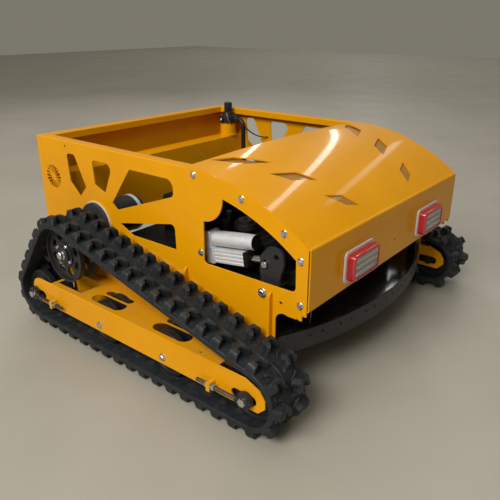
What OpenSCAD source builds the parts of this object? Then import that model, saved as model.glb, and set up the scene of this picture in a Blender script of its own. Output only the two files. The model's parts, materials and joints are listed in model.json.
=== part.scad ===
// Tracked carrier chassis with a curved hood, a lifting front deck and one electric actuator.
// Millimetres. +X points to the lamp end, +Y to the left, +Z up. The ground is z = 0.
// The origin is the middle of the footprint on the ground.

/* [Body] */
// Outer width over the two side plates
body_w = 860; // [700:10:1000]
// Rear edge of the side plates
body_rear = -538; // [-600:1:-450]
// Front edge of the side plates
body_front = 494; // [420:1:560]
// Height of the top rails above the ground
rail_z = 566; // [450:1:650]
// Side plate thickness
plate_t = 4; // [2:0.5:8]
// Where the curved hood begins
hood_x = 121; // [50:1:200]
// Radius of the hood curve
hood_r = 611; // [500:1:800]
// Height of the fold between hood and front face
fold_z = 439; // [380:1:480]
// Lower edge of the front face
front_low = 285; // [240:1:330]
// Rise of the hood's rear edge in the middle
hood_crown = 10; // [0:1:20]

/* [Tracks] */
// Track width
belt_w = 129; // [100:1:180]
// Distance from the middle to the inner edge of a track
belt_in = 451; // [440:1:500]
// Band thickness
belt_t = 14; // [8:1:20]
// Height of the tread blocks
lug_h = 22; // [10:1:30]
// Number of tread pitches around the track
pitches = 43; // [36:1:50]
// Radius to the band's inside at the two idlers
idler_r = 68; // [50:1:90]
// Radius to the band's inside at the sprocket
drive_r = 86; // [60:1:110]
// Height of the drive axle
drive_z = 263; // [200:1:300]

/* [Deck] */
// Radius of the deck's front edge
deck_r = 985; // [800:5:1200]
// Top of the front skirt
deck_z = 182; // [150:1:220]
// Height of the front skirt
skirt_h = 52; // [30:1:80]

/* [Hidden] */
$fn = 48;
half_w = body_w / 2;
belt_mid = belt_in + belt_w / 2;
belt_out = belt_in + belt_w;
axle_z = idler_r + belt_t + lug_h;
front_x = 434;
rear_x = -422;
drive_x = -278;
roller_x = [-105, 154];
roller_z = 100;
roller_r = roller_z - lug_h - belt_t - 0.5;
hub_x = -262;
hub_z = 335;
pivot_x = 368;
pivot_z = 298;
frame_out = 569;
frame_in = 462;
frame_top = 157;
gap = 0.3;

// Which sub-part to build

// ---------- helpers ----------

// height of the hood curve over the rails' line
function hood_z(x) = x <= hood_x ? rail_z
    : rail_z - hood_r + sqrt(hood_r * hood_r - (x - hood_x) * (x - hood_x));

// the other side of the machine
module both_sides() {
    children();
    mirror([0, 1, 0]) children();
}

// draws a flat x-z outline as a plate whose outer face is at y
module side_sheet(y, t) {
    translate([0, y + t, 0]) rotate([90, 0, 0]) linear_extrude(height = t) children();
}

// a cylinder along y from y0 to y1
module y_rod(x, z, r, y0, y1) {
    translate([x, y0, z]) rotate([-90, 0, 0]) cylinder(h = y1 - y0, r = r);
}

function unit(v) = v / norm(v);

// polygon with rounded corners: each point is [x, z, radius]
module soft_polygon(pts) {
    n = len(pts);
    function p(i) = [pts[i % n][0], pts[i % n][1]];
    function back(i) = unit(p(i + n - 1) - p(i));
    function ahead(i) = unit(p(i + 1) - p(i));
    function half(i) = acos(back(i) * ahead(i)) / 2;
    function middle(i, r) = p(i) + unit(back(i) + ahead(i)) * r / sin(half(i));
    // the arc is swept between the two tangent points
    function arc(i, r) = let (a = -unit(back(i) + ahead(i)), f = 90 - half(i),
        turn = back(i)[0] * ahead(i)[1] - back(i)[1] * ahead(i)[0] > 0 ? -1 : 1)
        [for (t = [-1 : 0.25 : 1]) middle(i, r) + r * [a[0] * cos(turn * f * t) - a[1] * sin(turn * f * t),
            a[0] * sin(turn * f * t) + a[1] * cos(turn * f * t)]];
    polygon([for (i = [0 : n - 1]) each pts[i][2] > 0 ? arc(i, pts[i][2]) : [p(i)]]);
}

// hexagon bolt with a washer face; the head stands out along -y from the plane y
module side_bolt(x, z, y, head, shank_r, shank) {
    y_rod(x, z, head * 0.62, y - 1.5, y);
    translate([x, y - 1.5, z]) rotate([90, 0, 0]) cylinder(h = head * 0.38, r = head * 0.55, $fn = 6);
    if (shank > 0) y_rod(x, z, shank_r, y, y + shank);
}

// ---------- body ----------

module plate_outline() {
    intersection() {
        union() {
            translate([body_rear, 240]) square([hood_x - body_rear, rail_z - 240]);
            intersection() {
                translate([hood_x, rail_z - hood_r]) circle(r = hood_r, $fn = 360);
                translate([hood_x - 1, 240]) square([body_front - hood_x + 1, rail_z - 240]);
            }
            polygon([[body_rear + 40, 150], [410, 150], [407, 230], [body_front, 300], [body_front, 320],
                [body_rear, 320], [body_rear, 250]]);
        }
        difference() {
            translate([body_rear, 100]) square([body_front - body_rear, 500]);
            // cut-away under the front corner
            translate([432, 237]) circle(r = 25);
            translate([407, 100]) square([200, 137]);
            translate([432, 100]) square([200, 160]);
            translate([body_front - 12, 100]) square([100, 174]);
            translate([body_front - 26, 0]) difference() {
                translate([0, 250]) square([60, 24]);
                translate([12, 273]) circle(r = 14);
            }
        }
    }
}

module windows() {
    soft_polygon([[-386, 529, 14], [-346, 529, 9], [-302, 437, 3], [-337, 402, 0], [-379, 440, 4]]);
    soft_polygon([[-261, 526, 14], [-167, 526, 19], [-211, 435, 3], [-256, 452, 5]]);
    soft_polygon([[-94, 524, 3], [75, 524, 24], [75, 480, 14], [-162, 395, 6], [-182, 411, 3]]);
    soft_polygon([[-157, 356, 3], [75, 405, 14], [77, 333, 2], [-100, 331, 2]]);
    // opening in front of the actuator: its top follows the hood curve
    intersection() {
        difference() {
            soft_polygon([[178, 323, 10], [463, 327, 14], [461, 420, 12], [255, 520, 3], [181, 520, 3]]);
            translate([178, 503]) circle(r = 66);
        }
        translate([hood_x, rail_z - hood_r]) circle(r = hood_r - 46, $fn = 360);
    }
    // pin hole, spare holes and the round slotted vent
    translate([-389, 549]) circle(r = 4);
    translate([422, 288]) circle(r = 4.2);
    translate([-470, 442]) for (i = [0 : 17]) rotate(i * 20)
        polygon([[12, -1.2], [35, -4.2], [37, -2], [37, 3], [35, 4.4], [12, 1]]);
}

bolt_spots = [[151, 551], [304, 519], [427, 463], [474, 408], [477, 299]];

module side_plate() {
    difference() {
        union() {
            side_sheet(-half_w, plate_t) difference() {
                plate_outline();
                windows();
                for (b = bolt_spots) translate(b) circle(r = 4.2);
                translate([pivot_x, pivot_z]) circle(r = 6.2);
                translate([168, 350]) circle(r = 5.2);
                translate([hub_x, hub_z]) circle(r = 58);
            }
            // top rail: the plate's edge is bent in and down
            translate([body_rear + 4, -half_w, rail_z - 4]) cube([hood_x - body_rear - 6, 34, 4]);
            translate([body_rear + 4, -half_w + 30, rail_z - 22]) cube([hood_x - body_rear - 6, 4, 22]);
        }
        // room for the rear wall and its rail
        translate([body_rear - 1, -half_w + plate_t, 200]) cube([41.3, 60, 400]);
    }
}

module side_plate_right() {
    color("#e3a008") side_plate();
}

module side_plate_left() {
    color("#e3a008") mirror([0, 1, 0]) side_plate();
}

module rear_wall() {
    w = half_w - plate_t - gap;
    color("#e3a008") {
        translate([body_rear, -w, 240]) cube([4, 2 * w, rail_z - 240]);
        translate([body_rear, -w, rail_z - 4]) cube([40, 2 * w, 4]);
        translate([body_rear + 36, -w, rail_z - 22]) cube([4, 2 * w, 22]);
        translate([body_rear, -w, 240]) cube([30, 2 * w, 4]);
    }
}

module cross_beam() {
    w = half_w - plate_t - gap;
    color("#e3a008") {
        translate([-474, -w, 458]) cube([66, 2 * w, 4]);
        translate([-474, -w, 418]) cube([4, 2 * w, 41]);
        // full-height panel between the load bay and the rear
        translate([-412, -w, 250]) cube([4, 2 * w, 209]);
    }
}

// ---------- hood ----------

// surface point at a share s of the curve and a distance y from the middle, lowered by d
function curve_x(s) = hood_x + (body_front + 3 - hood_x) * s;
function crown(s, y) = hood_crown * (1 - pow(y / half_w, 2)) * (1 - s) * (1 - s);
function skin(s, y, d) = [curve_x(s), y, hood_z(curve_x(s)) + crown(s, y) - d];

module hood_skin() {
    nx = 22;
    ny = 12;
    w = half_w - plate_t - gap;
    top = [for (i = [0 : nx]) for (j = [0 : ny]) skin(i / nx, -w + 2 * w * j / ny, 0)];
    low = [for (p = top) [p[0], p[1], p[2] - 3]];
    m = ny + 1;
    k = len(top);
    polyhedron(concat(top, low), concat(
        [for (i = [0 : nx - 1]) for (j = [0 : ny - 1])
            each [[i * m + j, i * m + j + 1, (i + 1) * m + j + 1], [i * m + j, (i + 1) * m + j + 1, (i + 1) * m + j]]],
        [for (i = [0 : nx - 1]) for (j = [0 : ny - 1])
            each [[k + i * m + j, k + (i + 1) * m + j + 1, k + i * m + j + 1],
                [k + i * m + j, k + (i + 1) * m + j, k + (i + 1) * m + j + 1]]],
        [for (i = [0 : nx - 1]) each [[i * m, (i + 1) * m, k + (i + 1) * m], [i * m, k + (i + 1) * m, k + i * m]]],
        [for (i = [0 : nx - 1]) each [[i * m + ny, k + (i + 1) * m + ny, (i + 1) * m + ny],
            [i * m + ny, k + i * m + ny, k + (i + 1) * m + ny]]],
        [for (j = [0 : ny - 1]) each [[j, k + j + 1, j + 1], [j, k + j, k + j + 1]]],
        [for (j = [0 : ny - 1]) each [[nx * m + j, nx * m + j + 1, k + nx * m + j + 1],
            [nx * m + j, k + nx * m + j + 1, k + nx * m + j]]]));
}

// the three slanted vents on one side, seen from above
module vent_shapes(grow) {
    for (v = [[[128, -350], [158, -282], [242, -222], [208, -306]],
            [[278, -292], [306, -211], [355, -181], [326, -262]],
            [[400, -226], [418, -166], [459, -140], [444, -190]]]) {
        c = (v[0] + v[1] + v[2] + v[3]) / 4;
        polygon([for (p = v) p + unit(p - c) * grow]);
    }
}

module hood() {
    w = half_w - plate_t - gap;
    color("#e3a008") difference() {
        union() {
            hood_skin();
            // front face
            translate([body_front, -w, front_low]) cube([4, 2 * w, fold_z - front_low + 1]);
            translate([body_front - 22, -w, front_low]) cube([24, 2 * w, 3]);
            // flanges behind the side plates
            for (s = [-1, 1]) translate([0, s < 0 ? -w : w - 3, 0]) side_sheet(0, 3) difference() {
                intersection() {
                    translate([hood_x, rail_z - hood_r]) circle(r = hood_r - 2, $fn = 180);
                    translate([hood_x + 4, front_low]) square([body_front - hood_x - 3, 300]);
                }
                translate([hood_x, rail_z - hood_r]) intersection() {
                    circle(r = hood_r - 40, $fn = 180);
                    square([body_front - hood_x - 30, hood_r]);
                }
            }
        }
        both_sides() translate([0, 0, 300]) linear_extrude(height = 300) vent_shapes(0);
        for (b = bolt_spots) y_rod(b[0], b[1], 4.2, -half_w, half_w);
        translate([body_front - 1, 0, 337]) rotate([0, 90, 0]) cylinder(h = 6, r = 5);
    }
}

// shallow pockets welded under the vents
module vent_pockets() {
    color("#9b6d2c") both_sides() intersection() {
        translate([0, 0, 300]) linear_extrude(height = 300) vent_shapes(9);
        translate([0, -100, rail_z - hood_r]) rotate([90, 0, 0]) cylinder_shell();
    }
}

module cylinder_shell() {
    translate([hood_x, 0, 0]) difference() {
        cylinder(h = 300, r = hood_r - 3.4, $fn = 180);
        translate([0, 0, -1]) cylinder(h = 302, r = hood_r - 6.4, $fn = 180);
    }
}

module hood_bolts() {
    color("#c9ccd0") both_sides() for (b = bolt_spots) side_bolt(b[0], b[1], -half_w - 0.02, 15, 4, 12);
}

module pivot_bolts() {
    color("#8d9299") {
        both_sides() side_bolt(pivot_x, pivot_z, -half_w - 0.02, 20, 6, 18);
        side_bolt(168, 350, -half_w - 0.02, 15, 5, 22);
    }
}

// ---------- lamps ----------

lamp_y = 208;
lamp_z = 345;

module lamp_block(w, h, x0, depth, r) {
    translate([x0, 0, 0]) rotate([90, 0, 90]) linear_extrude(height = depth)
        translate([-lamp_y, lamp_z])
            soft_polygon([[-w / 2, -h / 2, r], [w / 2, -h / 2, r], [w / 2, h / 2, r], [-w / 2, h / 2, r]]);
}

module lamp_base() {
    color([0.93, 0.93, 0.93]) lamp_block(146, 84, body_front + 4.02, 6, 14);
}

module lamp_shell() {
    color([0.78, 0.08, 0.1]) difference() {
        lamp_block(130, 70, body_front + 10.04, 18, 11);
        translate([0, 0, 0]) lamp_block(112, 52, body_front + 14, 20, 5);
    }
}

module lamp_lens() {
    color([0.62, 0.62, 0.62]) union() {
        lamp_block(111.6, 51.6, body_front + 14.02, 11, 5);
        for (i = [-2 : 2]) translate([body_front + 24, -lamp_y - 54, lamp_z - 2.5 + i * 10]) cube([3, 108, 5]);
    }
}

module lamp_base_right() { lamp_base(); }
module lamp_shell_right() { lamp_shell(); }
module lamp_lens_right() { lamp_lens(); }
module lamp_base_left() { mirror([0, 1, 0]) lamp_base(); }
module lamp_shell_left() { mirror([0, 1, 0]) lamp_shell(); }
module lamp_lens_left() { mirror([0, 1, 0]) lamp_lens(); }

// ---------- post, fitting and leads ----------

post_x = -436;
post_y = 371;

module post() {
    color("#e3a008") translate([post_x, post_y, 462]) difference() {
        union() {
            cylinder(h = 50, r = 32);
            cylinder(h = 5, r = 36);
        }
        translate([0, 0, 8]) cylinder(h = 60, r = 27);
    }
}

module post_fitting() {
    color("#1c1d1f") translate([post_x, post_y, 512.02]) {
        cylinder(h = 30, r = 37);
        translate([0, 0, 29]) cylinder(h = 14, r = 24);
        translate([0, 0, 42]) cylinder(h = 38, r = 16);
        translate([20, -9, 4]) cube([34, 18, 24]);
    }
}

// a tube of n-sided rings through the points; the rings stay upright to the path in its x-z view
module tube(pts, r, n = 16) {
    k = len(pts);
    function along(i) = unit(pts[min(i + 1, k - 1)] - pts[max(i - 1, 0)]);
    function ring(i) = let (t = along(i), b = [0, 1, 0] - t * t[1], u = unit(b), v = cross(t, u))
        [for (j = [0 : n - 1]) pts[i] + r * (cos(j * 360 / n) * u + sin(j * 360 / n) * v)];
    polyhedron([for (i = [0 : k - 1]) each ring(i)], concat(
        [[for (j = [0 : n - 1]) n - 1 - j]],
        [[for (j = [0 : n - 1]) (k - 1) * n + j]],
        [for (i = [0 : k - 2]) for (j = [0 : n - 1]) let (q = (j + 1) % n)
            each [[i * n + j, i * n + q, (i + 1) * n + q], [i * n + j, (i + 1) * n + q, (i + 1) * n + j]]]));
}

// the thick conduit leaves the fitting sideways and bends down into the body
module conduit() {
    color("#17181a") tube(concat([[post_x + 55.3, post_y, 528]],
        [for (a = [10 : 10 : 90]) [post_x + 54 + 26 * sin(a), post_y, 502 + 26 * cos(a)]],
        [[post_x + 80.5, post_y, 440], [post_x + 82, post_y, 370], [post_x + 84, post_y, 300]]), 9);
}

// the thin lead sags from the conduit to the left side plate
module sensor_lead() {
    x0 = post_x + 91;
    x1 = -270;
    color("#17181a") tube([for (i = [0 : 12]) let (s = i / 12)
        [x0 + (x1 - x0) * s, post_y + (half_w - 7.5 - post_y) * s, 500 - 36 * s - 52 * s * (1 - s)]], 2.4, 10);
}

// ---------- parts inside the body ----------

module power_unit() {
    color("#141414") {
        translate([-195, -385, 190]) cube([178, 770, 110]);
        translate([-18, -385, 190]) cube([156, 770, 270]);
        translate([30, -385, 440]) cube([106, 40, 84]);
        translate([137, -350, 190]) cube([200, 700, 188]);
    }
}

module cap_bracket() {
    color("#2a2b2d") {
        translate([166, -346, 378.02]) cube([18, 4, 46]);
        translate([166, -346, 378.02]) cube([18, 16, 4]);
        translate([180, -346, 378.02]) cube([4, 16, 46]);
        translate([184, -338, 418]) cylinder(h = 16, r = 4);
        translate([184, -338, 434]) cylinder(h = 8, r = 8, $fn = 6);
    }
}

module pulley_cap() {
    color("#333537") translate([216, -308, 378.02]) {
        cylinder(h = 16, r = 20);
        translate([0, 0, 15]) cylinder(h = 18, r = 31);
        translate([0, 0, 32]) cylinder(h = 9, r = 24);
        translate([0, 0, 40]) cylinder(h = 5, r = 5);
    }
}

// ---------- tracks ----------

c_drive = [drive_x, drive_z];
c_front = [front_x, axle_z];
c_rear = [rear_x, axle_z];
wheels = [c_drive, c_front, c_rear];
radii = [drive_r, idler_r, idler_r];

// outward normal of the straight run from wheel i to the next one
function run_angle(i, g) = let (a = wheels[i % 3], b = wheels[(i + 1) % 3], d = b - a)
    atan2(d[1], d[0]) + acos((radii[i % 3] - radii[(i + 1) % 3]) / norm(d));
function run_len(i) = let (d = wheels[(i + 1) % 3] - wheels[i % 3], dr = radii[i % 3] - radii[(i + 1) % 3])
    sqrt(d * d - dr * dr);
function wrap(a) = a < 0 ? wrap(a + 360) : a >= 360 ? wrap(a - 360) : a;
function sweep(i) = wrap(run_angle(i + 2) - run_angle(i));
// length of the arc at wheel i, measured at the middle of the band
function arc_len(i) = (radii[i % 3] + belt_t / 2) * sweep(i) * PI / 180;
function dir(a) = [cos(a), sin(a)];
loop_len = arc_len(0) + arc_len(1) + arc_len(2) + run_len(0) + run_len(1) + run_len(2);
pitch = loop_len / pitches;

// place on the band at the distance s: [x, z, outward angle] for wheel i
function spot(s, i) = s < arc_len(i)
    ? let (a = run_angle(i + 2) - s / (radii[i % 3] + belt_t / 2) * 180 / PI)
        [each wheels[i % 3] + dir(a) * radii[i % 3], a]
    : s < arc_len(i) + run_len(i)
        ? let (a = run_angle(i), d = s - arc_len(i), w = wheels[i % 3])
            [each w + dir(a) * radii[i % 3] + dir(a - 90) * d, a]
        : spot(s - arc_len(i) - run_len(i), i + 1);

// one tread block must stand exactly at the front of the front idler
front_s = (run_angle(0)) / 180 * PI * (idler_r + belt_t / 2);
function lug_s(k) = wrap_len(front_s + k * pitch);
function wrap_len(s) = s < 0 ? s + loop_len : s >= loop_len ? s - loop_len : s;
function lug(k) = spot(lug_s(k), 1);

module band_area(grow) {
    for (i = [0 : 2]) translate(wheels[i]) circle(r = radii[i] + grow, $fn = 120);
    polygon([for (i = [0 : 2]) each [wheels[i] + dir(run_angle(i)) * (radii[i] + grow),
        wheels[(i + 1) % 3] + dir(run_angle(i)) * (radii[(i + 1) % 3] + grow)]]);
}

// puts a child, drawn with +Z outwards and +X along the band, at tread place k
module on_band(k, y) {
    p = lug(k);
    translate([p[0], y, p[1]]) rotate([0, 90 - p[2], 0]) children();
}

// outline of one tread block, g times as long; the outer edge of the track is at y = 0
module lug_outline(g) {
    polygon([for (p = [[-12, 0], [12, 0], [14, 12], [5, 19], [0, 25], [8, 33], [20, 42], [16, 50], [-5, 49],
        [-14, 36], [-12, 26], [-13, 14]]) [p[0] * g, p[1]]]);
}

module tread_block() {
    translate([0, 0, belt_t - 4]) linear_extrude(height = lug_h * 0.5 + 4) lug_outline(1.15);
    translate([0, 0, belt_t + lug_h * 0.5 - 1]) linear_extrude(height = lug_h * 0.5 + 1) lug_outline(1);
}

module track_belt() {
    difference() {
        union() {
            difference() {
                side_sheet(-belt_out, belt_w) band_area(belt_t);
                side_sheet(-belt_out - 1, belt_w + 2) band_area(0);
            }
            for (k = [0 : pitches - 1]) {
                on_band(k, -belt_out) tread_block();
                on_band(k + 0.5, -belt_in) mirror([0, 1, 0]) tread_block();
                // guide block on the inside
                on_band(k, -belt_mid) translate([-9, -11, -24]) cube([18, 22, 25]);
            }
        }
        // block corners are flush with the ground and with the front of the loop
        translate([-700, -belt_out - 5, -20]) cube([1400, belt_w + 10, 20]);
        translate([front_x + idler_r + belt_t + lug_h, -belt_out - 5, -20]) cube([20, belt_w + 10, 300]);
    }
}

module track_belt_right() {
    color("#202123") track_belt();
}

module track_belt_left() {
    color("#202123") mirror([0, 1, 0]) track_belt();
}

// slot outline between two axle places, as seen from the side
module slot(x0, x1, z, r) {
    translate([x0, z]) circle(r = r);
    translate([x1, z]) circle(r = r);
    translate([min(x0, x1), z - r]) square([abs(x1 - x0), 2 * r]);
}

module frame_side() {
    difference() {
        union() {
            translate([-400, 78]) square([800, frame_top - 78]);
            translate([-400, 104]) circle(r = 26);
            translate([-400, 104 + 14]) circle(r = 39);
            polygon([[-400, 78], [-426, 104], [-439, 118], [-400, 157]]);
            polygon([[330, 157], [430, 157], [470, 140], [486, 118], [486, 98], [466, 78], [330, 78]]);
        }
        slot(front_x - 34, front_x + 14, axle_z, 13);
        slot(rear_x + 34, rear_x + 2, axle_z, 13);
    }
}

module track_frame() {
    difference() {
        union() {
            side_sheet(-frame_out, 4) frame_side();
            side_sheet(-frame_in - 4, 4) frame_side();
            // the top plate reaches in to the side plate
            translate([-400, -frame_out, frame_top - 4]) cube([830, frame_out - half_w - gap, 4]);
        }
        // openings in the top plate
        for (x = roller_x) {
            translate([x, -530, frame_top - 10]) linear_extrude(height = 20) slot_plan(86, 22);
            translate([x, -490.5, frame_top - 10]) linear_extrude(height = 20) slot_plan(86, 13);
        }
        translate([276, -552, frame_top - 10]) cylinder(h = 20, r = 4);
        for (x = [114, 394]) translate([x - 4.5, -half_w - 16.5, frame_top - 10]) cube([9, 30, 20]);
        // room for the sprocket, the idlers and the rollers
        y_rod(drive_x, drive_z, drive_r + 38, -frame_out + 22, -frame_in - 4);
        translate([front_x - idler_r - 20, -frame_out + 4, 60]) cube([200, frame_out - frame_in - 8, 120]);
        translate([rear_x - 100, -frame_out + 4, 60]) cube([100 + idler_r + 12, frame_out - frame_in - 8, 120]);
        for (x = roller_x) y_rod(x, roller_z, 8.2, -frame_out - 1, -frame_in + 1);
    }
}

module slot_plan(len, r) {
    for (s = [-1, 1]) translate([s * (len / 2), 0]) circle(r = r);
    translate([-len / 2, -r]) square([len, 2 * r]);
}

module track_frame_right() {
    color("#e3a008") track_frame();
}

module track_frame_left() {
    color("#e3a008") mirror([0, 1, 0]) track_frame();
}

// upright ribs that carry each track frame on the side plate
module frame_arms() {
    color("#e3a008") both_sides() for (x = [114, 394]) {
        translate([x - 4, -half_w - 12, 170]) cube([8, 11.98, x > 200 ? 128 : 112]);
        translate([x - 4, -half_w - 0.02, x > 200 ? 298 : 282]) rotate([0, 90, 0])
            intersection() {
                cylinder(h = 8, r = 12);
                translate([-20, -20, 0]) cube([40, 20, 8]);
            }
        translate([x - 4, -frame_in + 0.02, 90]) cube([8, frame_in - half_w - 0.04, 60]);
        translate([x - 4, -half_w - 16, 100]) cube([8, 15.98, 75]);
    }
}

module roller_bolts() {
    color("#c9ccd0") both_sides() for (x = roller_x) {
        side_bolt(x, roller_z, -frame_out - 0.02, 16, 8, frame_out - frame_in);
        y_rod(x, roller_z, 13, -frame_in + 0.5, -frame_in + 8);
    }
}

// lugs with nuts that hold the tension rods
module tension_lugs() {
    color("#c7a24a") both_sides() for (x = [331, -318]) difference() {
        union() {
            translate([x - 6, -frame_out - 22, axle_z - 5 - 11]) cube([12, 21.98, 24]);
            translate([x - 15, -frame_out - 11, axle_z - 5]) rotate([0, 90, 0]) cylinder(h = 30, r = 9, $fn = 6);
        }
        translate([x - 20, -frame_out - 11, axle_z - 5]) rotate([0, 90, 0]) cylinder(h = 40, r = 5.1);
    }
}

// ---------- drive ----------

module drive_cases() {
    color("#3a3b3e") both_sides() {
        y_rod(hub_x, hub_z, 62, -half_w - 14, -half_w - 0.3);
        y_rod(hub_x, hub_z, 57.5, -half_w - 1, -half_w + 8);
        y_rod(drive_x, drive_z, 46, -half_w - 18, -half_w - 0.3);
        side_sheet(-half_w - 14, 13.7) polygon([[hub_x - 58, hub_z - 20], [hub_x + 60, hub_z - 16],
            [drive_x + 45, drive_z - 10], [drive_x - 45, drive_z - 6]]);
        // drive shaft
        y_rod(drive_x, drive_z, 14, -belt_mid - 36, -half_w - 16);
    }
}

module drive_motors() {
    color("#18191b") both_sides() {
        y_rod(hub_x, hub_z, 56, -half_w + 8.02, -half_w + 122);
        y_rod(hub_x, hub_z, 50, -half_w + 134, -half_w + 150);
        y_rod(hub_x, hub_z, 51, -half_w + 121, -half_w + 135);
    }
}

module motor_bands() {
    color("#b9bcc0") both_sides() {
        difference() {
            y_rod(hub_x, hub_z, 57.5, -half_w + 122.5, -half_w + 133.5);
            y_rod(hub_x, hub_z, 51.2, -half_w + 100, -half_w + 160);
        }
        // light ring in front of the plate
        difference() {
            y_rod(hub_x, hub_z, 66, -half_w - 4, -half_w - 0.3);
            y_rod(hub_x, hub_z, 62.2, -half_w - 5, -half_w);
            y_rod(drive_x, drive_z, 90, -half_w - 15, -half_w);
        }
    }
}

module drive_disc(y) {
    side_sheet(y, 7) difference() {
        circle_at(drive_x, drive_z, drive_r - 1);
        circle_at(drive_x, drive_z, 14.05);
        translate(c_drive) for (i = [0 : 3]) rotate(i * 90 + 20) {
            translate([54, 0]) circle(r = 14);
            rotate(45) for (j = [-6 : 2 : 6]) rotate(j) translate([56, 0]) circle(r = 8, $fn = 24);
        }
    }
}

module circle_at(x, z, r) {
    translate([x, z]) circle(r = r, $fn = 96);
}

module sprocket() {
    for (s = [-1, 1]) drive_disc(-belt_mid + s * 24 - 3.5);
    difference() {
        union() {
            y_rod(drive_x, drive_z, 26, -belt_mid - 38, -belt_mid + 34);
            y_rod(drive_x, drive_z, 38, -belt_mid - 32, -belt_mid - 26);
        }
        y_rod(drive_x, drive_z, 14.05, -belt_mid - 60, -belt_mid + 60);
    }
    // rim rings and drive rollers between the discs
    for (s = [-1, 1]) difference() {
        y_rod(drive_x, drive_z, drive_r - 1, -belt_mid + s * 27 - 8, -belt_mid + s * 27 + 8);
        y_rod(drive_x, drive_z, drive_r - 7, -belt_mid + s * 27 - 9, -belt_mid + s * 27 + 9);
    }
    for (i = [0 : 11]) translate([drive_x, 0, drive_z]) rotate([0, i * 30, 0])
        y_rod(40, 0, 6, -belt_mid - 25, -belt_mid + 25);
}

module sprocket_right() {
    color("#1d1e20") sprocket();
}

module sprocket_left() {
    color("#1d1e20") mirror([0, 1, 0]) sprocket();
}

module sprocket_bolts() {
    color("#c9ccd0") {
        for (i = [0 : 3]) translate([drive_x, 0, drive_z]) rotate([0, i * 90 + 30, 0])
            side_bolt(32, 0, -belt_mid - 32.02, 9, 1, 0);
        side_bolt(drive_x, drive_z, -belt_mid - 38.02, 24, 8, 1.9);
    }
}

module sprocket_bolts_right() { sprocket_bolts(); }
module sprocket_bolts_left() { mirror([0, 1, 0]) sprocket_bolts(); }

// twin-disc wheel that runs on both sides of the guide blocks
module twin_wheel(x, z, r, bore) {
    difference() {
        union() {
            for (s = [-1, 1]) {
                y_rod(x, z, r, -belt_mid + s * 25 - 10, -belt_mid + s * 25 + 10);
                y_rod(x, z, 22, -belt_mid + s * 37 - 6, -belt_mid + s * 37 + 6);
            }
            y_rod(x, z, 22, -belt_mid - 38, -belt_mid + 38);
        }
        y_rod(x, z, bore, -belt_mid - 60, -belt_mid + 60);
        for (s = [-1, 1]) difference() {
            y_rod(x, z, r - 10, -belt_mid + s * 37 - 6, -belt_mid + s * 37 + 6);
            y_rod(x, z, 26, -belt_mid + s * 37 - 7, -belt_mid + s * 37 + 7);
        }
    }
}

module idler_front_right() { color("#1d1e20") twin_wheel(front_x, axle_z, idler_r - 0.5, 10.05); }
module idler_front_left() { color("#1d1e20") mirror([0, 1, 0]) twin_wheel(front_x, axle_z, idler_r - 0.5, 10.05); }
module idler_rear_right() { color("#1d1e20") twin_wheel(rear_x, axle_z, idler_r - 0.5, 10.05); }
module idler_rear_left() { color("#1d1e20") mirror([0, 1, 0]) twin_wheel(rear_x, axle_z, idler_r - 0.5, 10.05); }
module roller_front_right() { color("#1d1e20") twin_wheel(roller_x[1], roller_z, roller_r, 8.05); }
module roller_front_left() { color("#1d1e20") mirror([0, 1, 0]) twin_wheel(roller_x[1], roller_z, roller_r, 8.05); }
module roller_rear_right() { color("#1d1e20") twin_wheel(roller_x[0], roller_z, roller_r, 8.05); }
module roller_rear_left() { color("#1d1e20") mirror([0, 1, 0]) twin_wheel(roller_x[0], roller_z, roller_r, 8.05); }

// axle, eye and threaded rod that pull the idler outwards; s = 1 at the front, -1 at the rear
module tension_rod(x, s) {
    eye_y = -frame_out - 14;
    y_rod(x, axle_z, 10, -frame_out - 16, -frame_in + 12);
    y_rod(x, axle_z, 21, eye_y, -frame_out - 1);
    y_rod(x, axle_z, 12, -frame_in + 0.5, -frame_in + 13);
    translate([x, eye_y, axle_z]) rotate([90, 0, 0]) cylinder(h = 9, r = 11, $fn = 6);
    translate([x - s * 148, -frame_out - 11, axle_z - 5]) rotate([0, s * 90, 0]) cylinder(h = 135, r = 5);
    translate([x - s * 24, -frame_out - 11, axle_z - 5]) rotate([0, s * 90, 0]) cylinder(h = 20, r = 8);
}

module tension_rod_front_right() { color("#55585c") tension_rod(front_x, 1); }
module tension_rod_front_left() { color("#55585c") mirror([0, 1, 0]) tension_rod(front_x, 1); }
module tension_rod_rear_right() { color("#55585c") tension_rod(rear_x, -1); }
module tension_rod_rear_left() { color("#55585c") mirror([0, 1, 0]) tension_rod(rear_x, -1); }

// ---------- actuator and deck lift ----------

act_y = -385;
act_x = 166;
act_z = 334;
act_tilt = 8.4;

// draws in the actuator's own frame: +X along the rod
module act_frame() {
    translate([act_x, act_y, act_z]) rotate([0, -act_tilt, 0]) children();
}

module x_rod(x0, x1, y, z, r) {
    translate([x0, y, z]) rotate([0, 90, 0]) cylinder(h = x1 - x0, r = r);
}

module actuator_housing() {
    color("#c3c7cc") act_frame() difference() {
        union() {
            translate([-6, -20, -22]) cube([30, 40, 44]);
            translate([-6, -21, 20]) cube([24, 42, 44]);
            x_rod(-6, 18, 0, 44, 21);
            translate([-22, -8, -12]) cube([18, 16, 24]);
        }
        translate([-14, -30, 0]) rotate([-90, 0, 0]) cylinder(h = 60, r = 5);
    }
}

module actuator_motor() {
    color("#d5d7da") act_frame() x_rod(18.02, 132, 0, 43, 20);
}

module actuator_tube() {
    color("#c9cdd3") act_frame() difference() {
        translate([24.02, -18, -18]) cube([98, 36, 36]);
        for (z = [-10, 0, 10]) translate([20, -20, z - 2]) cube([110, 4, 4]);
        for (z = [-10, 0, 10]) translate([20, 16, z - 2]) cube([110, 4, 4]);
        x_rod(50, 140, 0, 0, 11);
    }
}

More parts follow.
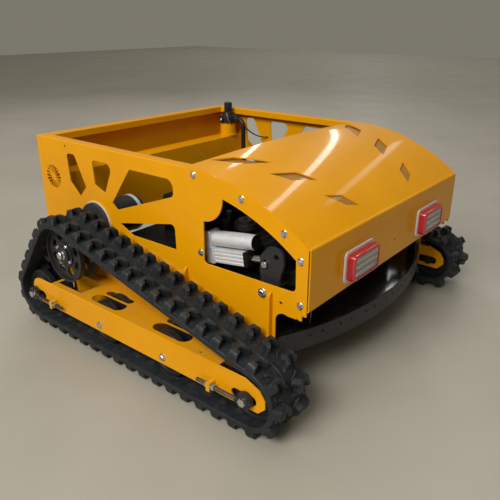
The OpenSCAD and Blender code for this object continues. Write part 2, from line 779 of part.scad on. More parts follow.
module actuator_end_caps() {
    color("#1a1b1d") act_frame() {
        x_rod(132.02, 156, 0, 43, 19.5);
        difference() {
            translate([122.04, -19, -19]) cube([14, 38, 38]);
            x_rod(120, 140, 0, 0, 10.05);
        }
        translate([-5, -12, 65.02]) cube([14, 24, 7]);
    }
}

module actuator_rod() {
    color("#d9dbde") act_frame() difference() {
        union() {
            x_rod(70, 188, 0, 0, 10);
            translate([186, -9, -10]) cube([18, 18, 20]);
        }
        translate([195, -20, 0]) rotate([-90, 0, 0]) cylinder(h = 9, r = 5);
    }
}

module rod_pin() {
    color("#b9bcc0") act_frame() {
        translate([195, -24, 0]) rotate([-90, 0, 0]) cylinder(h = 14.98, r = 5);
        translate([195, -30, 0]) rotate([-90, 0, 0]) cylinder(h = 6.2, r = 8);
    }
}

pin_x = act_x + 195 * cos(act_tilt);
pin_z = act_z + 195 * sin(act_tilt);

module lever() {
    color("#2b2c2e") side_sheet(-407.5, 8) difference() {
        soft_polygon([[346, 275, 20], [391, 275, 20], [402, 340, 40], [413, 372, 20], [409, 411, 20],
            [366, 409, 20], [342, 380, 15], [342, 340, 10], [347, 310, 20]]);
        translate([390, 387]) circle(r = 7);
        translate([pivot_x, pivot_z]) circle(r = 10.02);
        // slot for the rod's pin, radial to the pivot
        translate([pivot_x, pivot_z]) rotate(atan2(pin_z - pivot_z, pin_x - pivot_x)) {
            r = norm([pin_x - pivot_x, pin_z - pivot_z]);
            translate([r - 4, 0]) circle(r = 5.5);
            translate([r + 6, 0]) circle(r = 5.5);
            translate([r - 4, -5.5]) square([10, 11]);
        }
    }
}

arm_len = 55;
arm_y = 330;

module lift_shaft() {
    color("#2b2c2e") {
        difference() {
            y_rod(pivot_x, pivot_z, 10, -half_w + 4.5, half_w - 4.5);
            for (y = [-half_w, half_w - 20]) y_rod(pivot_x, pivot_z, 6.05, y, y + 20);
        }
        both_sides() side_sheet(-arm_y, 8) difference() {
            union() {
                translate([pivot_x, pivot_z]) circle(r = 18);
                translate([pivot_x, pivot_z - 13]) square([arm_len, 26]);
                translate([pivot_x + arm_len + 2, pivot_z]) circle(r = 14);
            }
            slot(pivot_x + arm_len - 5, pivot_x + arm_len + 5, pivot_z, 6);
        }
    }
}

// ---------- deck ----------

deck_c = -484;

module deck_plan(r) {
    intersection() {
        translate([deck_c, 0]) circle(r = r, $fn = 360);
        translate([-190, -415]) square([800, 830]);
    }
}

module deck_pan() {
    color("#111214") {
        translate([0, 0, deck_z - 10]) linear_extrude(height = 4) deck_plan(deck_r - 4.3);
        for (s = [-1, 1]) translate([-190, s * 413 - 2, deck_z - 50]) cube([550, 4, 41]);
        translate([-190, -413, deck_z - 50]) cube([4, 826, 41]);
        // lugs with pins for the lift arms
        both_sides() {
            translate([pivot_x + arm_len - 14, -arm_y + 8.5, deck_z - 8]) cube([28, 8, pivot_z + 12 - deck_z + 8]);
            y_rod(pivot_x + arm_len, pivot_z, 5, -arm_y - 3, -arm_y + 9);
        }
    }
}

module deck_skirt() {
    color("#232427") difference() {
        translate([0, 0, deck_z - skirt_h]) linear_extrude(height = skirt_h) difference() {
            deck_plan(deck_r);
            translate([deck_c, 0]) circle(r = deck_r - 4, $fn = 360);
            translate([-300, -500]) square([500, 1000]);
        }
        for (i = [-3 : 3]) for (j = [-1.2, 1.2]) translate([deck_c, 0, deck_z - 19])
            rotate([0, 0, i * 6.1 + j]) translate([deck_r - 20, 0, 0]) rotate([0, 90, 0]) cylinder(h = 40, r = 4);
    }
}

// ---------- assembly ----------

side_plate_right();
side_plate_left();
rear_wall();
cross_beam();
hood();
vent_pockets();
hood_bolts();
pivot_bolts();
lamp_base_right();
lamp_shell_right();
lamp_lens_right();
lamp_base_left();
lamp_shell_left();
lamp_lens_left();
post();
post_fitting();
conduit();
sensor_lead();
power_unit();
cap_bracket();
pulley_cap();
track_frame_right();
track_frame_left();
frame_arms();
roller_bolts();
tension_lugs();
track_belt_right();
track_belt_left();
drive_cases();
drive_motors();
motor_bands();
sprocket_right();
sprocket_left();
sprocket_bolts_right();
sprocket_bolts_left();
idler_front_right();
idler_front_left();
idler_rear_right();
idler_rear_left();
roller_front_right();
roller_front_left();
roller_rear_right();
roller_rear_left();
tension_rod_front_right();
tension_rod_front_left();
tension_rod_rear_right();
tension_rod_rear_left();
actuator_housing();
actuator_motor();
actuator_tube();
actuator_end_caps();
actuator_rod();
rod_pin();
lever();
lift_shaft();
deck_pan();
deck_skirt();
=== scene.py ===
"""Looks of the tracked carrier chassis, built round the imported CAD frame.

Metres. +X points to the lamp end, +Y to the left side, +Z up, and the ground is z = 0.
"""

import json
import math
import random

import bmesh
import bpy
from mathutils import Matrix, Vector


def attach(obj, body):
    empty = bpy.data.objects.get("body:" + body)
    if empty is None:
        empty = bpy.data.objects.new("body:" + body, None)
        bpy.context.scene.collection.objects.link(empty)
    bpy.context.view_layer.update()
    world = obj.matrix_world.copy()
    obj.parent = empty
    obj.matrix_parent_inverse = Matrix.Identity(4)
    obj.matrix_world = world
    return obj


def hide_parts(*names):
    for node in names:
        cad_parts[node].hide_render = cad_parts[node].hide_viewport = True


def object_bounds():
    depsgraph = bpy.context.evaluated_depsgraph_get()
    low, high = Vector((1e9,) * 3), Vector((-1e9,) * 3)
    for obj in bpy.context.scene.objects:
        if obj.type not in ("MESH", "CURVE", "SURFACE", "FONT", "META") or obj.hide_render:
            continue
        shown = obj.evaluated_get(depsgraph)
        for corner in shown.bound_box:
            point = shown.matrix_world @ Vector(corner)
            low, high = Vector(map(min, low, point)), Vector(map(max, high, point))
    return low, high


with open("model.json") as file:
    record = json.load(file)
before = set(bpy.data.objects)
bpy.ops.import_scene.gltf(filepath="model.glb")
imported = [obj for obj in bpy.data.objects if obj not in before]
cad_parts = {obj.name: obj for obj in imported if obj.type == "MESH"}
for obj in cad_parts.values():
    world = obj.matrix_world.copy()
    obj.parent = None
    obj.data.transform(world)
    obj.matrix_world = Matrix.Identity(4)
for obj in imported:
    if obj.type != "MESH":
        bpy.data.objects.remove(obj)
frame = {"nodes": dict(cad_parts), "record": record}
cad_low, cad_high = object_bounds()
scene = bpy.context.scene
MM = 0.001

# axles, seen from the side: x and z
DRIVE_X, DRIVE_Z = -0.278, 0.263
FRONT_X, REAR_X, AXLE_Z = 0.434, -0.422, 0.104
PIVOT_X, PIVOT_Z = 0.368, 0.298
SIDE_FACE = 0.43002  # outer face of the side plates, with a hair's gap
FRONT_LUG_X, REAR_LUG_X, LUG_Z = 0.331, -0.318, 0.099  # lugs that the tension rods run through

# ---------------------------------------------------------------- camera

CAM_AT = Vector((1.1011, -1.3805, 0.9029))
CAM_AZIMUTH = math.radians(39.06)
CAM_DROP = math.radians(22.39)
CAM_ROLL = math.radians(0.08)


def make_camera():
    data = bpy.data.cameras.new("camera")
    data.lens = 40.37
    data.sensor_width = 36
    data.clip_start = 0.05
    data.clip_end = 60
    cam = bpy.data.objects.new("camera", data)
    scene.collection.objects.link(cam)
    look = Vector((-math.sin(CAM_AZIMUTH) * math.cos(CAM_DROP),
                   math.cos(CAM_AZIMUTH) * math.cos(CAM_DROP), -math.sin(CAM_DROP)))
    turn = look.to_track_quat("-Z", "Y").to_matrix().to_4x4() @ Matrix.Rotation(CAM_ROLL, 4, "Z")
    cam.matrix_world = Matrix.Translation(CAM_AT) @ turn
    scene.camera = cam


make_camera()


# ---------------------------------------------------------------- materials

class Shader:
    """Small builder for one procedural material."""

    def __init__(self, name):
        self.mat = bpy.data.materials.new(name)
        self.mat.use_nodes = True
        self.tree = self.mat.node_tree
        self.bsdf = self.tree.nodes["Principled BSDF"]
        self.coord = self.tree.nodes.new("ShaderNodeTexCoord").outputs["Object"]

    def node(self, kind, **values):
        n = self.tree.nodes.new("ShaderNode" + kind)
        for key, v in values.items():
            if hasattr(n, key):
                setattr(n, key, v)
            else:
                n.inputs[key.replace("_", " ")].default_value = v
        return n

    def link(self, a, b):
        self.tree.links.new(a, b)

    def scaled(self, sx, sy, sz):
        m = self.node("Mapping")
        m.inputs["Scale"].default_value = (sx, sy, sz)
        self.link(self.coord, m.inputs["Vector"])
        return m.outputs["Vector"]

    def noise(self, scale, detail=3, rough=0.55, vector=None):
        n = self.node("TexNoise")
        n.inputs["Scale"].default_value = scale
        n.inputs["Detail"].default_value = detail
        n.inputs["Roughness"].default_value = rough
        self.link(vector or self.coord, n.inputs["Vector"])
        return n.outputs["Fac"]

    def ramp(self, fac, low, high, a=0.0, b=1.0):
        n = self.node("MapRange")
        n.inputs["From Min"].default_value = low
        n.inputs["From Max"].default_value = high
        n.inputs["To Min"].default_value = a
        n.inputs["To Max"].default_value = b
        self.link(fac, n.inputs["Value"])
        return n.outputs["Result"]

    def mix(self, fac, a, b, blend="MIX"):
        n = self.node("Mix")
        n.data_type = "RGBA"
        n.blend_type = blend
        self.link(fac, n.inputs[0]) if not isinstance(fac, float) else setattr(n.inputs[0], "default_value",
                                                                               fac)
        for sock, v in ((n.inputs[6], a), (n.inputs[7], b)):
            if isinstance(v, tuple):
                sock.default_value = (*v, 1)
            else:
                self.link(v, sock)
        return n.outputs[2]

    def math(self, op, a, b):
        n = self.node("Math")
        n.operation = op
        for sock, v in ((n.inputs[0], a), (n.inputs[1], b)):
            if isinstance(v, (int, float)):
                sock.default_value = v
            else:
                self.link(v, sock)
        return n.outputs[0]

    def edge(self, low=0.52, high=0.6):
        """1 on convex edges, 0 elsewhere."""
        g = self.node("NewGeometry")
        return self.ramp(g.outputs["Pointiness"], low, high)

    def up(self, low=0.3, high=0.95):
        """1 on faces that look up."""
        g = self.node("NewGeometry")
        s = self.node("SeparateXYZ")
        self.link(g.outputs["Normal"], s.inputs[0])
        return self.ramp(s.outputs["Z"], low, high)

    def height(self, z0, z1):
        """1 at z0 falling to 0 at z1."""
        s = self.node("SeparateXYZ")
        self.link(self.coord, s.inputs[0])
        return self.ramp(s.outputs["Z"], z0, z1, 1, 0)

    def color(self, v):
        if isinstance(v, tuple):
            self.bsdf.inputs["Base Color"].default_value = (*v, 1)
        else:
            self.link(v, self.bsdf.inputs["Base Color"])

    def rough(self, v):
        if isinstance(v, (int, float)):
            self.bsdf.inputs["Roughness"].default_value = v
        else:
            self.link(v, self.bsdf.inputs["Roughness"])

    def bump(self, fac, depth, strength=1.0):
        b = self.node("Bump")
        b.inputs["Strength"].default_value = strength
        b.inputs["Distance"].default_value = depth
        self.link(fac, b.inputs["Height"])
        old = self.bsdf.inputs["Normal"]
        if old.is_linked:
            self.link(old.links[0].from_socket, b.inputs["Normal"])
        self.link(b.outputs["Normal"], old)

    def set(self, **values):
        for key, v in values.items():
            self.bsdf.inputs[key.replace("_", " ")].default_value = v
        return self


def paint(name, base, deep):
    """Gloss powder coat with a slight orange peel, cloudy tone and a little dust low down."""
    s = Shader(name)
    cloud = s.noise(5.5, 4, 0.6)
    tone = s.mix(s.ramp(cloud, 0.3, 0.7), deep, base)
    speck = s.ramp(s.noise(420, 2, 0.6), 0.70, 0.80)
    tone = s.mix(s.math("MULTIPLY", speck, 0.12), tone, (0.30, 0.22, 0.10))
    dust = s.math("MULTIPLY", s.math("MULTIPLY", s.height(0.05, 0.36), s.up(0.5, 1.0)),
                  s.ramp(s.noise(26, 4, 0.7), 0.42, 0.72))
    tone = s.mix(s.math("MULTIPLY", dust, 0.35), tone, (0.33, 0.27, 0.17))
    s.color(tone)
    s.rough(s.math("ADD", s.ramp(s.noise(60, 3, 0.6), 0.3, 0.7, 0.30, 0.40), s.math("MULTIPLY", dust, 0.3)))
    s.bump(s.noise(330, 2, 0.5), 0.00018, 0.10)
    s.set(Specular_IOR_Level=0.06, Coat_Weight=0.55, Coat_Roughness=0.07, Coat_IOR=1.30)
    return s.mat


def metal(name, base, rough=0.3, grain=(1, 1, 1), stain=(0.2, 0.2, 0.2), amount=0.25):
    """Bare or plated metal: fine directional grain, stains in random patches."""
    s = Shader(name)
    g = s.noise(180, 4, 0.65, s.scaled(*grain))
    blot = s.ramp(s.noise(34, 4, 0.7), 0.42, 0.75)
    tone = s.mix(s.math("MULTIPLY", blot, amount), base, stain)
    s.color(tone)
    s.rough(s.ramp(g, 0.25, 0.75, rough * 0.75, rough * 1.3))
    s.bump(g, 0.00008, 0.25)
    s.set(Metallic=1.0)
    return s.mat


def plastic(name, base, rough=0.45, fleck=0.15, light=(0.1, 0.1, 0.1), grain=900, depth=0.00012, shine=0.4):
    """Moulded plastic or satin paint: fine grain, scuffed lighter edges, a little dust on top."""
    s = Shader(name)
    edge = s.math("MULTIPLY", s.edge(0.53, 0.62), s.ramp(s.noise(70, 3), 0.35, 0.7))
    tone = s.mix(s.math("MULTIPLY", edge, 0.6), base, light)
    dust = s.math("MULTIPLY", s.up(0.55, 1.0), s.ramp(s.noise(38, 4, 0.7), 0.40, 0.75))
    tone = s.mix(s.math("MULTIPLY", dust, fleck), tone, (0.26, 0.24, 0.20))
    s.color(tone)
    s.rough(s.ramp(s.noise(90, 3), 0.3, 0.7, rough * 0.85, rough * 1.15))
    s.bump(s.noise(grain, 2, 0.5), depth, 0.3)
    s.set(Specular_IOR_Level=shine)
    return s.mat


def rubber(name):
    """Track rubber: dark blue-grey, moulded grain, paler worn edges, and pale blue-grey patches on faces
    that look up: partly dust, partly painted light on the tops.
    """
    s = Shader(name)
    cloud = s.ramp(s.noise(24, 5, 0.65), 0.35, 0.7)
    tone = s.mix(cloud, (0.009, 0.0115, 0.0145), (0.021, 0.025, 0.028))
    edge = s.math("MULTIPLY", s.edge(0.52, 0.60), s.ramp(s.noise(55, 3), 0.3, 0.65))
    tone = s.mix(s.math("MULTIPLY", edge, 0.45), tone, (0.085, 0.085, 0.083))
    # pale blue-grey patches on faces that look up: partly dust, partly painted light on the tops
    dust = s.math("MULTIPLY", s.up(0.2, 1.0), s.ramp(s.noise(75, 5, 0.75), 0.45, 0.72))
    tone = s.mix(s.math("MULTIPLY", dust, 0.40), tone, (0.052, 0.061, 0.062))
    s.color(tone)
    s.rough(s.ramp(s.noise(45, 3), 0.3, 0.7, 0.42, 0.60))
    s.bump(s.noise(260, 3, 0.6), 0.0004, 0.35)
    s.set(Specular_IOR_Level=0.32)
    return s.mat


def clear_plastic(name, tint, rough, transmission):
    s = Shader(name)
    s.color(s.mix(s.ramp(s.noise(30, 2), 0.3, 0.7), tint, tuple(c * 0.92 for c in tint)))
    s.rough(s.ramp(s.noise(120, 2), 0.3, 0.7, rough * 0.8, rough * 1.2))
    s.set(Transmission_Weight=transmission, IOR=1.49, Coat_Weight=0.5, Coat_Roughness=0.05)
    return s.mat


def gloss_red(name):
    s = Shader(name)
    s.color(s.mix(s.ramp(s.noise(40, 3), 0.3, 0.7), (0.52, 0.012, 0.022), (0.62, 0.03, 0.04)))
    s.rough(s.ramp(s.noise(160, 2), 0.3, 0.7, 0.12, 0.22))
    s.set(Transmission_Weight=0.25, Coat_Weight=0.8, Coat_Roughness=0.06, IOR=1.49)
    return s.mat


PAINT = paint("powder_coat", (0.82, 0.355, 0.0012), (0.76, 0.32, 0.001))
# the yellow paint darkened: painted shade for the vent pockets, which sit in shadow
VENT_PAINTED_SHADE = paint("vent_painted_shade", (0.40, 0.195, 0.035), (0.34, 0.165, 0.03))
ZINC = metal("zinc", (0.66, 0.68, 0.70), 0.26, (1, 1, 1), (0.30, 0.29, 0.27), 0.35)
ALU = metal("aluminium", (0.80, 0.82, 0.84), 0.50, (0.15, 1, 1), (0.50, 0.52, 0.54), 0.2)
ALU.node_tree.nodes["Principled BSDF"].inputs["Metallic"].default_value = 0.45
CAST_ALU = metal("cast_aluminium", (0.70, 0.74, 0.80), 0.48, (1, 1, 1), (0.44, 0.47, 0.51), 0.3)
CAST_ALU.node_tree.nodes["Principled BSDF"].inputs["Metallic"].default_value = 0.5
CHROME = metal("chrome", (0.80, 0.80, 0.80), 0.09, (0.2, 1, 1), (0.55, 0.55, 0.55), 0.15)
STEEL = metal("dark_steel", (0.20, 0.205, 0.21), 0.38, (1, 1, 1), (0.09, 0.08, 0.075), 0.5)
RUBBER = rubber("track_rubber")
BLACK = plastic("black_plastic", (0.014, 0.0145, 0.016), 0.42, 0.10, (0.07, 0.07, 0.07))
MATT = plastic("matt_black", (0.006, 0.0063, 0.007), 0.6, 0.02, (0.02, 0.02, 0.02), shine=0.1)
GLOSSY = plastic("gloss_black", (0.006, 0.006, 0.0065), 0.14, 0.10, (0.03, 0.03, 0.03), 260, 0.00008, 0.6)
LEVER = plastic("lever_grey", (0.022, 0.0225, 0.024), 0.45, 0.10, (0.08, 0.08, 0.08))
CAST = plastic("cast_iron", (0.030, 0.031, 0.033), 0.55, 0.15, (0.10, 0.10, 0.10), 350, 0.0004)
CORD = plastic("cable_jacket", (0.012, 0.012, 0.013), 0.36, 0.1, (0.05, 0.05, 0.05))
WHITE = plastic("white_base", (0.66, 0.56, 0.54), 0.3, 0.05, (0.80, 0.74, 0.72))
RED = gloss_red("red_lamp")


# ---------------------------------------------------------------- mesh helpers

def place(name, mesh, body, mat, replaces=()):
    """Puts a finished mesh in the scene as a piece of the object."""
    if mat is not None:
        mesh.materials.clear()
        mesh.materials.append(mat)
    obj = bpy.data.objects.new(name, mesh)
    scene.collection.objects.link(obj)
    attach(obj, body)
    if replaces:
        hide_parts(*replaces)
    return obj


def to_mesh(bm, name, sharp=32.0):
    """Ends a bmesh: outward normals, smooth faces, edges over the angle kept sharp."""
    bmesh.ops.recalc_face_normals(bm, faces=bm.faces)
    mesh = bpy.data.meshes.new(name)
    bm.to_mesh(mesh)
    bm.free()
    mesh.shade_smooth()
    mesh.set_sharp_from_angle(angle=math.radians(sharp))
    return mesh


def soften(bm, width, segments=2, angle=28.0, pick=None):
    """Rounds the sharp edges of a bmesh."""
    low = math.radians(angle)
    edges = [e for e in bm.edges if len(e.link_faces) == 2 and e.calc_face_angle(0) > low
             and (pick is None or pick(e))]
    if edges:
        bmesh.ops.bevel(bm, geom=edges, offset=width, offset_type="OFFSET", segments=segments,
                        profile=0.5, affect="EDGES", clamp_overlap=False)


def weigh(obj):
    m = obj.modifiers.new("normals", "WEIGHTED_NORMAL")
    m.keep_sharp = True
    m.weight = 80
    return obj


def cad_bmesh(node):
    """The node's solid with its flat faces joined up again."""
    bm = bmesh.new()
    bm.from_mesh(frame["nodes"][node].data)
    bmesh.ops.remove_doubles(bm, verts=bm.verts, dist=2e-6)
    bmesh.ops.dissolve_limit(bm, angle_limit=math.radians(0.5), verts=bm.verts, edges=bm.edges)
    return bm


BODY_OF = {n: b for b, ns in frame["record"]["behaviour"]["bodies"].items() for n in ns}


def refine(node, mat, width=0.8 * MM, segments=2, folds=None, fold_r=2.6 * MM):
    """A copy of the CAD node with rolled edges, which stands for it."""
    bm = cad_bmesh(node)
    if folds:
        soften(bm, fold_r, 3, 28.0, folds)
    soften(bm, width, segments)
    return weigh(place(node + "_skin", to_mesh(bm, node), BODY_OF[node], mat, (node,)))


def ring_points(r, n, start=0.0):
    return [(r * math.cos(start + 2 * math.pi * i / n),
             r * math.sin(start + 2 * math.pi * i / n)) for i in range(n)]


def lathe(bm, profile, place_at, n=40):
    """Turns a closed profile of (along, radius) round the local Z axis; place_at maps it into the frame.
    A radius of 0 closes the form on its axis."""
    rings = []
    for along, r in profile:
        if r < 1e-7:
            rings.append([bm.verts.new(place_at @ Vector((0, 0, along)))])
        else:
            rings.append([bm.verts.new(place_at @ Vector((x, y, along))) for x, y in ring_points(r, n)])
    for a, b in zip(rings, rings[1:]):
        join_rings(bm, a, b)
    if len(rings[0]) > 1 and len(rings[-1]) > 1:
        join_rings(bm, rings[-1], rings[0])


def join_rings(bm, a, b):
    n = max(len(a), len(b))
    for i in range(n):
        j = (i + 1) % n
        if len(a) == 1 and len(b) == 1:
            return
        if len(a) == 1:
            bm.faces.new((a[0], b[j], b[i]))
        elif len(b) == 1:
            bm.faces.new((a[i], a[j], b[0]))
        else:
            bm.faces.new((a[i], a[j], b[j], b[i]))


def axis_matrix(at, along):
    """Local Z along the given direction, origin at the given point."""
    return Matrix.Translation(Vector(at)) @ Vector(along).to_track_quat("Z", "Y").to_matrix().to_4x4()


def prism(bm, outline, z0, z1, place_at, taper=1.0):
    """A closed prism of an outline in local XY between two local heights."""
    c = Vector((sum(p[0] for p in outline) / len(outline), sum(p[1] for p in outline) / len(outline)))
    low = [bm.verts.new(place_at @ Vector((x, y, z0))) for x, y in outline]
    top = [bm.verts.new(place_at @ Vector((c.x + (x - c.x) * taper, c.y + (y - c.y) * taper, z1)))
           for x, y in outline]
    n = len(outline)
    faces = [bm.faces.new(list(reversed(low))), bm.faces.new(top)]
    for i in range(n):
        j = (i + 1) % n
        faces.append(bm.faces.new((low[i], low[j], top[j], top[i])))
    return faces


def loft(bm, layers, m):
    """Closed form through outlines of the same number of points: (outline, local height)."""
    rings = [[bm.verts.new(m @ Vector((x, y, z))) for x, y in outline] for outline, z in layers]
    for a, b in zip(rings, rings[1:]):
        join_rings(bm, a, b)
    bm.faces.new(list(reversed(rings[0])))
    bm.faces.new(rings[-1])


def block(bm, low, high, place_at=Matrix.Identity(4)):
    (a, b, c), (d, e, f) = low, high
    prism(bm, [(a, b), (d, b), (d, e), (a, e)], c, f, place_at)


def hose(bm, points, r, n=12):
    """A closed tube of constant radius through the points."""
    pts = [Vector(p) for p in points]
    up = Vector((0, 0, 1))
    rings = []
    for i, p in enumerate(pts):
        t = (pts[min(i + 1, len(pts) - 1)] - pts[max(i - 1, 0)]).normalized()
        if rings == []:
            side = t.cross(up) if abs(t.z) < 0.9 else t.cross(Vector((0, 1, 0)))
        side = (side - t * side.dot(t)).normalized()
        other = t.cross(side)
        rings.append([bm.verts.new(p + side * x + other * y) for x, y in ring_points(r, n)])
    for a, b in zip(rings, rings[1:]):
        join_rings(bm, a, b)
    bm.faces.new(list(reversed(rings[0])))
    bm.faces.new(rings[-1])


def smooth_path(points, steps=6):
    """Points on a Catmull-Rom curve through the given ones."""
    p = [Vector(q) for q in points]
    p = [p[0] * 2 - p[1], *p, p[-1] * 2 - p[-2]]
    out = []
    for i in range(1, len(p) - 2):
        for k in range(steps):
            t = k / steps
            out.append(0.5 * ((2 * p[i]) + (p[i + 1] - p[i - 1]) * t
                              + (2 * p[i - 1] - 5 * p[i] + 4 * p[i + 1] - p[i + 2]) * t * t
                              + (3 * p[i] - p[i - 1] - 3 * p[i + 1] + p[i + 2]) * t ** 3))
    return [*out, p[-2]]


def hex_bolt(bm, at, out, af, tall=0.62, flange=1.42, turn=0.0, shank=None):
    """Flanged hexagon bolt: at is the seat, out points away from it. All round forms are turned."""
    m = axis_matrix(at, out)
    r = af / 2
    fl = r * flange
    lathe(bm, [(0, 0), (0, fl), (0.10 * r, fl), (0.26 * r, fl * 0.86), (0.36 * r, r * 0.96), (0.36 * r, 0)],
          m, 32)
    corner = r / math.cos(math.pi / 6)
    spin = Matrix.Rotation(turn, 4, "Z")
    top = tall * af
    hexa = ring_points(corner, 6)
    prism(bm, hexa, 0.24 * r, top * 0.86, m @ spin)
    prism(bm, hexa, top * 0.86, top, m @ spin, 0.88)
    # shallow dish in the head
    lathe(bm, [(top - 0.0001, 0), (top - 0.0001, r * 0.72), (top + 0.0002, r * 0.78),
               (top + 0.0002, r * 0.62),
               (top + 0.00005, r * 0.5), (top + 0.00005, 0)], m, 24)
    if shank:
        lathe(bm, [(-shank[1], 0), (-shank[1], shank[0]), (0.0001, shank[0]), (0.0001, 0)], m, 20)


def bolts(node, mat, spots, both=False, **kw):
    """One piece with a bolt at each (at, out, af) spot; both adds the other side's."""
    bm = bmesh.new()
    rng = random.Random(node)
    for at, out, af in spots:
        for s in ((1, -1) if both else (1,)):
            hex_bolt(bm, (at[0], at[1] * s, at[2]), (out[0], out[1] * s, out[2]), af,
                     turn=rng.uniform(0, math.pi / 3), **kw)
    return place(node + "_detailed", to_mesh(bm, node, 26), BODY_OF[node], mat, (node,))


# ---------------------------------------------------------------- tracks

WHEELS = ((DRIVE_X, DRIVE_Z, 0.086), (FRONT_X, AXLE_Z, 0.068), (REAR_X, AXLE_Z, 0.068))
BAND_T = 0.014
LUG_H = 0.022
PITCHES = 43
BELT_IN = 0.451
BELT_OUT = 0.580
BELT_MID = (BELT_IN + BELT_OUT) / 2


def run_angle(i):
    (x0, z0, r0), (x1, z1, r1) = WHEELS[i % 3], WHEELS[(i + 1) % 3]
    return math.atan2(z1 - z0, x1 - x0) + math.acos((r0 - r1) / math.hypot(x1 - x0, z1 - z0))


def run_length(i):
    (x0, z0, r0), (x1, z1, r1) = WHEELS[i % 3], WHEELS[(i + 1) % 3]
    return math.sqrt((x1 - x0) ** 2 + (z1 - z0) ** 2 - (r0 - r1) ** 2)


def arc_length(i):
    return (WHEELS[i % 3][2] + BAND_T / 2) * ((run_angle(i + 2) - run_angle(i)) % math.tau)


LOOP = sum(arc_length(i) + run_length(i) for i in range(3))
PITCH = LOOP / PITCHES
FRONT_S = run_angle(0) * (WHEELS[1][2] + BAND_T / 2)


def spot(s):
    """Inner face of the band at a distance from the start of the front idler's arc: x, z, outward angle."""
    s = (s + FRONT_S) % LOOP
    i = 1
    while True:
        x, z, r = WHEELS[i % 3]
        if s < arc_length(i):
            a = run_angle(i + 2) - s / (r + BAND_T / 2)
            return x + r * math.cos(a), z + r * math.sin(a), a
        s -= arc_length(i)
        if s < run_length(i):
            a = run_angle(i)
            return x + r * math.cos(a) + s * math.sin(a), z + r * math.sin(a) - s * math.cos(a), a
        s -= run_length(i)
        i += 1


def on_band(s, y, inward):
    """Local X along the band, Y across it, Z outwards, at a place on the band."""
    x, z, a = spot(s)
    m = Matrix(((math.sin(a), 0, math.cos(a), x), (0, inward, 0, y), (-math.cos(a), 0, math.sin(a), z),
                (0, 0, 0, 1)))
    return m


def stamp(bm, mesh, matrix):
    copy = mesh.copy()
    copy.transform(matrix)
    bm.from_mesh(copy)
    bpy.data.meshes.remove(copy)


# one lug seen from above: a C that opens forwards; x along the band, y from the band's edge inwards
LUG_RING = ((-11, 0.6), (-8, 2.2), (-5, 0.6), (-1, 2.2), (3, 0.6), (6, 2.2), (10, 0.6), (12.5, 5), (13, 12),
            (11, 17),
            (4, 19), (-1, 23), (-1, 28), (3, 31), (9, 34), (15, 38), (19, 43), (16.5, 49), (10, 48),
            (4, 45), (-1, 47),
            (-6, 46.5), (-11, 41), (-14, 34), (-11.5, 26), (-13, 18), (-12, 8))


def lug_mesh():
    bm = bmesh.new()
    pts = [(x * MM, y * MM) for x, y in LUG_RING]
    cx, cy = 0.0, 24 * MM

    def grown(k, edge=0.0004):
        return [(cx + (x - cx) * k, min(max(edge, cy + (y - cy) * k), 0.053)) for x, y in pts]

    # flared foot, body with draft, and a smaller crown
    loft(bm, [(grown(1.22), BAND_T - 0.003), (grown(1.16), BAND_T + 0.0012), (grown(1.08), BAND_T + 0.005),
              (grown(1.0, 0.0022), BAND_T + 0.013), (grown(0.93, 0.0055), BAND_T + 0.0185),
              (grown(0.78, 0.0085), BAND_T + 0.0206)],
         Matrix.Identity(4))
    # a raised pad on the block's end and a low rib that runs towards the next lug
    pad = [((-7, 9.5), (7, 9.5), (8, 13), (4, 17), (-6, 17), (-8, 13)),
           ((-9, 33), (-4, 32), (7, 38), (12, 43), (0, 42), (-6, 42))]
    for outline in pad:
        prism(bm, [(x * MM, y * MM) for x, y in outline], BAND_T + 0.018, BAND_T + LUG_H - 0.0003,
              Matrix.Identity(4), 0.82)
    for x0, y0, x1, y1 in ((17, 54, 29, 36), (-14, 44, -29, 22), (18, 12, 30, 12)):
        a, b = Vector((x0, y0, 0)) * MM, Vector((x1, y1, 0)) * MM
        along = (b - a).normalized()
        side = Vector((-along.y, along.x, 0)) * 1.2 * MM
        outline = [(a - side), (b - side), (b + side), (a + side)]
        prism(bm, [(p.x, p.y) for p in outline], BAND_T - 0.002, BAND_T + 0.0016, Matrix.Identity(4), 0.8)
    mesh = bpy.data.meshes.new("lug")
    bmesh.ops.recalc_face_normals(bm, faces=bm.faces)
    bm.to_mesh(mesh)
    bm.free()
    return mesh


def guide_mesh():
    bm = bmesh.new()
    prism(bm, [(-9 * MM, -11 * MM), (9 * MM, -11 * MM), (9 * MM, 11 * MM), (-9 * MM, 11 * MM)],
          0.002, -0.0235, Matrix.Identity(4), 0.72)
    soften(bm, 2.2 * MM, 2, 40)
    # shallow pads beside the guide block, where the wheels run
    for y in (-27, 27):
        prism(bm, [(-11 * MM, (y - 10) * MM), (11 * MM, (y - 10) * MM), (11 * MM, (y + 10) * MM),
                   (-11 * MM, (y + 10) * MM)],
              0.001, -0.0002, Matrix.Identity(4), 0.9)
    mesh = bpy.data.meshes.new("guide")
    bmesh.ops.recalc_face_normals(bm, faces=bm.faces)
    bm.to_mesh(mesh)
    bm.free()
    return mesh


def band_profile():
    """Section of the band: (distance from the outer edge, height), rounded corners and a parting line."""
    w = BELT_OUT - BELT_IN
    t, r = BAND_T, 0.003
    pts = []
    for cy, cz, a0 in ((r, r, 180), (w - r, r, 270), (w - r, t - r, 0)):
        pts += [(cy + r * math.cos(math.radians(a0 + k * 30)), cz + r * math.sin(math.radians(a0 + k * 30)))
                for k in range(4)]
    half = w / 2
    pts += [(half + 0.0022, t), (half + 0.0010, t + 0.0014), (half - 0.0010, t + 0.0014), (half - 0.0022, t)]
    pts += [(r + r * math.cos(math.radians(90 + k * 30)), t - r + r * math.sin(math.radians(90 + k * 30)))
            for k in range(4)]
    return pts


